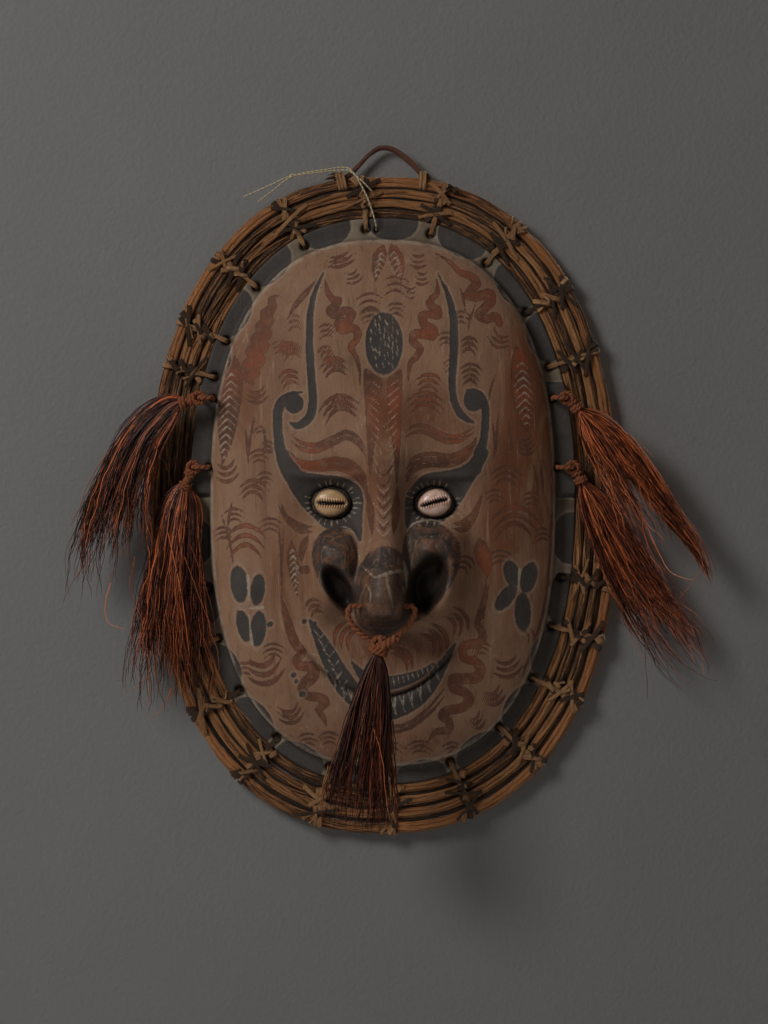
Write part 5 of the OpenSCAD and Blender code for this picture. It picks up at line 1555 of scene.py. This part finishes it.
def tassel(name, path, widths, depth, thick, count, seed, locks=30, tone=0.0, curl=1.0, strays=(),
           twist=0.0, short=0.62):
    """A bundle of plant fibres in locks, each fibre kinked in its own way, with loose ends."""
    rng = np.random.default_rng(seed)
    BASE, M = 60, 26  # points along the bundle's middle line, and along each fibre
    base = spline(np.column_stack([path, widths]), 6)
    base, _ = resample(base, BASE)
    reach = np.linalg.norm(np.diff(base[:, :2], axis=0), axis=1).sum()
    g = np.gradient(base[:, :2], axis=0)
    g /= np.linalg.norm(g, axis=1)[:, None]
    side = np.column_stack([-g[:, 1], g[:, 0]])
    lock = rng.integers(0, locks, count)
    c0 = np.sort(rng.uniform(-1, 1, locks)) * 0.93
    e0 = rng.uniform(-0.85, 0.85, locks)
    l0 = rng.uniform(short, 1.0, locks)
    d0 = rng.normal(0, 0.16, locks)
    tone0 = rng.uniform(-0.16, 0.16, locks)
    phase0 = rng.uniform(0, 6.28, locks)
    c = c0[lock] + rng.normal(0, 0.085, count)
    e = np.clip(e0[lock] + rng.normal(0, 0.22, count), -1, 1)
    length = np.clip(l0[lock] * rng.uniform(0.78, 1.06, count), 0.3, 1.03)
    drift = d0[lock] + rng.normal(0, 0.34, count)
    t = np.linspace(0, 1, M)[None] * length[:, None]
    k = t * (BASE - 1)
    P = np.stack([np.interp(k, np.arange(BASE), base[:, j]) for j in range(2)], -1)
    S = np.stack([np.interp(k, np.arange(BASE), side[:, j]) for j in range(2)], -1)
    W = np.interp(k, np.arange(BASE), base[:, 2])
    over = np.maximum(t - 1, 0)
    gather = 1 - np.exp(-t / 0.05)
    sway = twist * np.sin(5.5 * t + 2 * e[:, None]) * 0.3
    cc = np.clip(c[:, None] + drift[:, None] * (t - 0.35) + sway, -1.12, 1.12)
    amp = curl * (0.30 + 1.25 * t**1.2)
    f = rng.uniform(0.7, 1.3, count)[:, None] * reach / 150
    ph = rng.uniform(0, 6.28, (4, count, 1))
    lockph = phase0[lock][:, None]
    wave = 1.1 * np.sin(9 * t * f + lockph) + 1.0 * np.sin(21 * t * f + ph[0])
    wave = wave + 0.5 * np.sin(47 * t * f + ph[1])
    deep = 0.6 * np.sin(13 * t * f + ph[2]) + 0.3 * np.sin(37 * t * f + ph[3])
    off = cc * W * gather + amp * wave * 0.62
    body_thick = thick * np.clip(0.42 + 1.5 * t, 0, 1)
    D = depth + e[:, None] * body_thick * (1 - 0.35 * np.clip(cc, -1, 1) ** 2)
    D = D + np.clip(amp * deep * 0.5, -1.3, 1.3)
    D = np.clip(D, depth - thick - 0.9, depth + thick + 1.6)
    paths = np.stack([P[..., 0] + S[..., 0] * off, D, P[..., 1] + S[..., 1] * off - over * reach],
                     -1)
    size = rng.uniform(0.30, 0.62, count)[:, None] * (1 - 0.55 * (t / length[:, None]) ** 1.5)
    size[:, -1] *= 0.35
    shape = Shape()
    tones = np.clip(rng.beta(0.8, 1.25, count) + tone0[lock] + tone, 0, 1)
    hairs(shape, paths, size, tones)
    for n, route in enumerate(strays):  # single fibres that have come away
        p, _ = resample(spline(route, 8), M)
        step = np.arange(M) * 1.0
        q = p + np.column_stack([0.35 * fuzz(step, seed + n, 0.5), np.zeros(M),
                0.3 * fuzz(step, seed + n + 40, 0.5)])
        hairs(shape, q[None], np.linspace(0.38, 0.16, M)[None],
              np.array([np.clip(0.55 + tone + 0.2 * rng.normal(), 0, 1)]), 4)
    shape.piece(name, name.rsplit("_", 1)[0] + "_tassel", FIBRE,
                [] if name == SPRAY else [name])


for name, side, hole, edge, front, z, seed in (
        ("left_upper", -1, 128.5, 138.2, 41, 79, 201), ("left_lower", -1, 132, 143.5, 28, 27, 202),
        ("right_upper", 1, 128.5, 138.2, 41, 79, 203), ("right_lower", 1, 132, 143.5, 28, 27, 204)):
    side_cord(name + "_cord_loop", side, hole, edge, front, z, seed)

# knots on them, and the necks that the fibres hang from
for name, x, z, d, neck, seed in [
        ("left_upper", -138.2, 79, 34, [(-142, 34.5, 78.6), (-145, 35.2, 77), (-148, 35.2, 76.4),
                (-151.5, 34.8, 75)], 211),
        ("left_lower", -143.5, 27, 21, [(-145.4, 21.4, 24), (-147, 22.0, 20), (-148.8, 22.2, 16),
                (-150, 21.8, 12)], 212),
        ("right_upper", 138.2, 79, 34, [(140.4, 34.4, 77.4), (142.4, 35, 75.4), (144.4, 35, 73.2),
                (146.4, 34.6, 71)], 213),
        ("right_lower", 143.5, 27, 21, [(145.2, 21.2, 24.6), (146.8, 22, 22), (148.6, 22, 19.2),
                (150, 21.6, 16.6)], 214)]:
    side = 1 if x > 0 else -1
    shape = Shape()
    coils(shape, (x, d, z), (0, 1, 0), (1, 0, 0), 4.0, 1.9, 2.4, 2.6, seed)
    way = np.array(neck[-1], float) - np.array(neck[0], float)
    way /= np.linalg.norm(way)
    up = np.cross(way, (0, 1.0, 0))
    up /= np.linalg.norm(up)
    coils(shape, np.array(neck[0]) + way * 1.2, way, up, 3.3, 1.5, 2.0, 2.4, seed + 10)
    twisted(shape, spline(neck, 6), 2.5, 9.0, seed + 20, plies=3, per=0.9, sides=7,
            swell=[0.8, 1.0, 1.25, 1.0], hairy=0.4)
    coils(shape, np.array(neck[-1]) - way * 1.0, way, up, 3.9, 1.5, 2.2, 2.2, seed + 30)
    shape.piece(name + "_knot", name + "_tassel", CORD)

tassel("left_upper_fibres",
       [(-148.5, 76.4), (-160, 73), (-181, 49), (-197, 10), (-206, -34), (-209, -71)],
       [4.6, 11.5, 16, 21, 28, 26], 34, 4.6, 470, 221,
       locks=34, tone=-0.14, curl=1.3, short=0.62,
       strays=[[(-190, 36, 10), (-206, 37, -20), (-232, 38, -58), (-240, 38, -74)],
               [(-205, 32, -60), (-209, 32, -76), (-207, 32, -90), (-194, 32, -95)],
               [(-186, 36, -40), (-190, 37, -66), (-181, 37, -88), (-180, 36, -118)],
               [(-160, 37, 78), (-184, 38, 62), (-196, 38, 40)],
               [(-174, 37, 50), (-160, 38, 20), (-156, 38, -6)],
               [(-196, 37, 20), (-214, 38, -30), (-226, 38, -60)]])
tassel("left_lower_fibres",
       [(-149, 17), (-152, 4), (-157, -30), (-160, -80), (-160, -126), (-160, -153)],
       [4.8, 14, 19, 25, 31, 29], 21, 4.6, 560, 222,
       locks=42, tone=-0.08, curl=1.35, short=0.60,
       strays=[[(-172, 23, -90), (-186, 24, -112), (-194, 24, -128), (-194, 24, -142)],
               [(-150, 25, -40), (-138, 29, -72), (-128, 29, -98)],
               [(-146, 25, -30), (-134, 29, -62), (-128, 29, -84), (-126, 28, -104)],
               [(-170, 22, -120), (-184, 22, -138), (-196, 22, -144)],
               [(-160, 20, -140), (-168, 20, -156), (-176, 20, -163)],
               [(-150, 24, -128), (-146, 24, -148), (-150, 24, -160)],
               [(-145, 25, -20), (-150, 27, -62), (-166, 26, -108)],
               [(-163, 24, -20), (-152, 26, -70), (-146, 26, -116)]])
tassel("right_upper_fibres",
       [(146, 72), (160, 60), (188, 33), (217, -2), (239, -34), (248, -57)],
       [4.2, 10, 11, 9, 6.5, 3.4], 34, 4.6, 270, 223,
       locks=18, tone=0.10, curl=0.9, twist=1.4, short=0.80,
       strays=[[(226, 37, -20), (240, 38, -44), (232, 38, -60), (222, 38, -72)],
               [(160, 36, 62), (184, 38, 52), (204, 38, 34)],
               [(196, 36, 26), (218, 37, 0), (236, 38, -22), (250, 37, -50)]])
tassel(SPRAY, [(146.5, 70.5), (159, 53), (178, 24), (197, -6), (210, -32), (216, -46)],
    [4.2, 12, 17, 19, 20, 18], 35.6, 4.2, 260, 224, locks=26, tone=0.04, curl=1.9, short=0.45,
    strays=[[(190, 35, 0), (204, 36, -30), (216, 36, -52), (234, 36, -58)],
    [(180, 30, 10), (196, 30, -22), (206, 30, -48)],
    [(170, 37, 44), (176, 38, 10), (192, 38, -26)]])
tassel("right_lower_fibres",
       [(149.5, 17.5), (158, 2), (180, -40), (205, -80), (226, -110), (240, -130)],
       [4.6, 12, 19, 22, 23, 19], 21, 4.6, 400, 225,
       locks=38, tone=0.02, curl=1.75, short=0.45,
       strays=[[(176, 22, -52), (192, 24, -70), (197, 24, -96), (200, 24, -148)],
               [(190, 22, -60), (200, 22, -92), (216, 22, -112), (226, 22, -118)],
               [(196, 24, -84), (206, 25, -104), (222, 25, -128), (232, 25, -136)],
               [(186, 20, -76), (178, 20, -84), (182, 20, -92), (193, 20, -91)],
               [(214, 22, -108), (228, 22, -122), (246, 22, -133), (253, 22, -134)],
               [(165, 25, -10), (170, 26, -50), (192, 26, -84)]])

# the cord through the nose: two legs that meet in a knot, and a short end
shape = Shape()
legs = [[(22, 84, -76), (10, 84, -76.2), (-12, 84, -76.2), (-23, 84.4, -76), (-25.6, 85.4, -80),
    (-24.6, 85.6, -86), (-20.5, 85.4, -92), (-14, 85.2, -98), (-7, 85, -102.2), (-2, 85, -104)],
    [(21, 83.6, -75.8), (23.4, 84, -78.5), (22.6, 84.2, -84), (18.6, 84.4, -90.4),
    (12.6, 84.6, -96.4), (5.6, 84.8, -101.2), (-2, 85.2, -104)]]
for k, leg in enumerate(legs):
    twisted(shape, spline(leg, 6), 2.1, 9.0, 230 + k, per=0.9, sides=7, hairy=0.25)
twisted(shape, spline([(-2, 84.5, -104), (-2, 88, -104), (-2, 93, -104), (-1.5, 96, -103.8)], 5),
        1.8, 8.0, 233, per=0.8, sides=6)
coils(shape, (-2, 96.2, -104), (0, 1, 0), (1, 0, 0), 1.9, 1.3, 1.4, 0.9, 234)
shape.piece("nose_cord", "nose_cord", CORD, ["nose_cord_loop"])

shape = Shape()
coils(shape, (-2, 90.4, -104), (0, 1, 0), (1, 0, 0), 5.2, 2.2, 2.2, 2.9, 235)
coils(shape, (-2.8, 90.8, -107.0), (0.25, 0.1, 0.96), (1, 0, -0.25), 5.4, 2.1, 2.0, 2.9, 236)
coils(shape, (0.0, 91.5, -103.2), (0.85, 0.1, 0.5), (-0.5, 0, 0.85), 5.0, 2.0, 1.6, 3.0, 238)
twisted(shape, spline([(-6.5, 91.5, -108), (-1, 96, -105.5), (5, 95.4, -101.5), (10.6, 93, -98.8)],
                      6), 3.0, 8.0, 237, per=0.8, sides=7,
        swell=[0.8, 1, 1, 1.15], hairy=0.5)
shape.piece("nose_knot", "nose_tassel", CORD)
tassel("nose_fibres",
       [(-3.5, -107), (-5, -121), (-9.5, -150), (-13.5, -185), (-16.5, -218), (-18, -240)],
       [4.2, 8, 15, 20, 25, 25], 90, 6, 400, 226,
       locks=34, tone=-0.16, curl=0.75, short=0.84,
       strays=[[(-8, 95, -160), (0, 96, -190), (2, 96, -214), (5, 96, -232)],
               [(-24, 95, -190), (-33, 96, -206), (-28, 96, -222)]])


# ---------------------------------------------------------------- light, wall and floor

def area_light(name, at, look, size, watts, colour=(1, 1, 1)):
    """A square lamp at one point that faces another."""
    data = bpy.data.lights.new(name, "AREA")
    data.shape, data.size, data.energy, data.color = "SQUARE", size, watts, colour
    o = bpy.data.objects.new(name, data)
    bpy.context.scene.collection.objects.link(o)
    o.location = at
    o.rotation_euler = (Vector(look) - Vector(at)).to_track_quat("-Z", "Y").to_euler()


def wall_stuff():
    """Pale grey plaster that shows only from the room's side."""
    s = Nodes("wall_plaster")
    s.finish(s.ramp(s.noise(3, 6), [(0.3, (0.178, 0.176, 0.172)), (0.7, (0.200, 0.198, 0.194))]),
             0.9, s.noise(300, 4), 0.0006)
    clear = s.t.nodes.new("ShaderNodeBsdfTransparent")
    share = s.t.nodes.new("ShaderNodeMixShader")
    where = s.t.nodes.new("ShaderNodeNewGeometry")
    s.t.links.new(where.outputs["Backfacing"], share.inputs["Fac"])
    s.t.links.new(s.bsdf.outputs[0], share.inputs[1])
    s.t.links.new(clear.outputs[0], share.inputs[2])
    s.t.links.new(share.outputs[0], s.out.inputs["Surface"])
    return s.m


def panel(name, corners, material):
    """A flat staging piece that casts no shadow, so that it never hides the lights."""
    mesh = bpy.data.meshes.new(name)
    mesh.from_pydata(corners, [], [(0, 1, 2, 3)])
    mesh.materials.append(material)
    o = bpy.data.objects.new(name, mesh)
    bpy.context.scene.collection.objects.link(o)
    o.visible_shadow = False


WALL_Y, FLOOR_Z = 0.0012, -0.86
panel("wall", [(-4, WALL_Y, FLOOR_Z), (4, WALL_Y, FLOOR_Z), (4, WALL_Y, 3), (-4, WALL_Y, 3)],
      wall_stuff())
floor = Nodes("pale_floor")
floor.finish(floor.ramp(floor.noise(4, 5), [(0.3, (0.50, 0.49, 0.48)), (0.7, (0.56, 0.55, 0.54))]),
             0.85, floor.noise(200, 3), 0.0005)
panel("floor", [(x, y, FLOOR_Z) for x, y in ((-40, -40), (40, -40), (40, 40), (-40, 40))], floor.m)

area_light("key", (-1.4, -1.45, 0.85), (-0.1, 0, -0.22), 0.75, 26, (1, 0.985, 0.96))
area_light("fill", (2.2, -2.6, -0.3), (0, 0, -0.27), 2.2, 1.2, (1, 0.97, 0.94))
area_light("top", (0.2, -0.8, 1.9), (0, -0.05, -0.3), 1.2, 1.0)
area_light("behind", (0.9, 2.0, 0.7), (0, 0, -0.27), 1.6, 40)
world = bpy.data.worlds.new("room")
bpy.context.scene.world = world
world.use_nodes = True
world.node_tree.nodes["Background"].inputs["Color"].default_value = (1, 0.97, 0.93, 1)
world.node_tree.nodes["Background"].inputs["Strength"].default_value = 0.075
bpy.context.scene.view_settings.view_transform = "Standard"
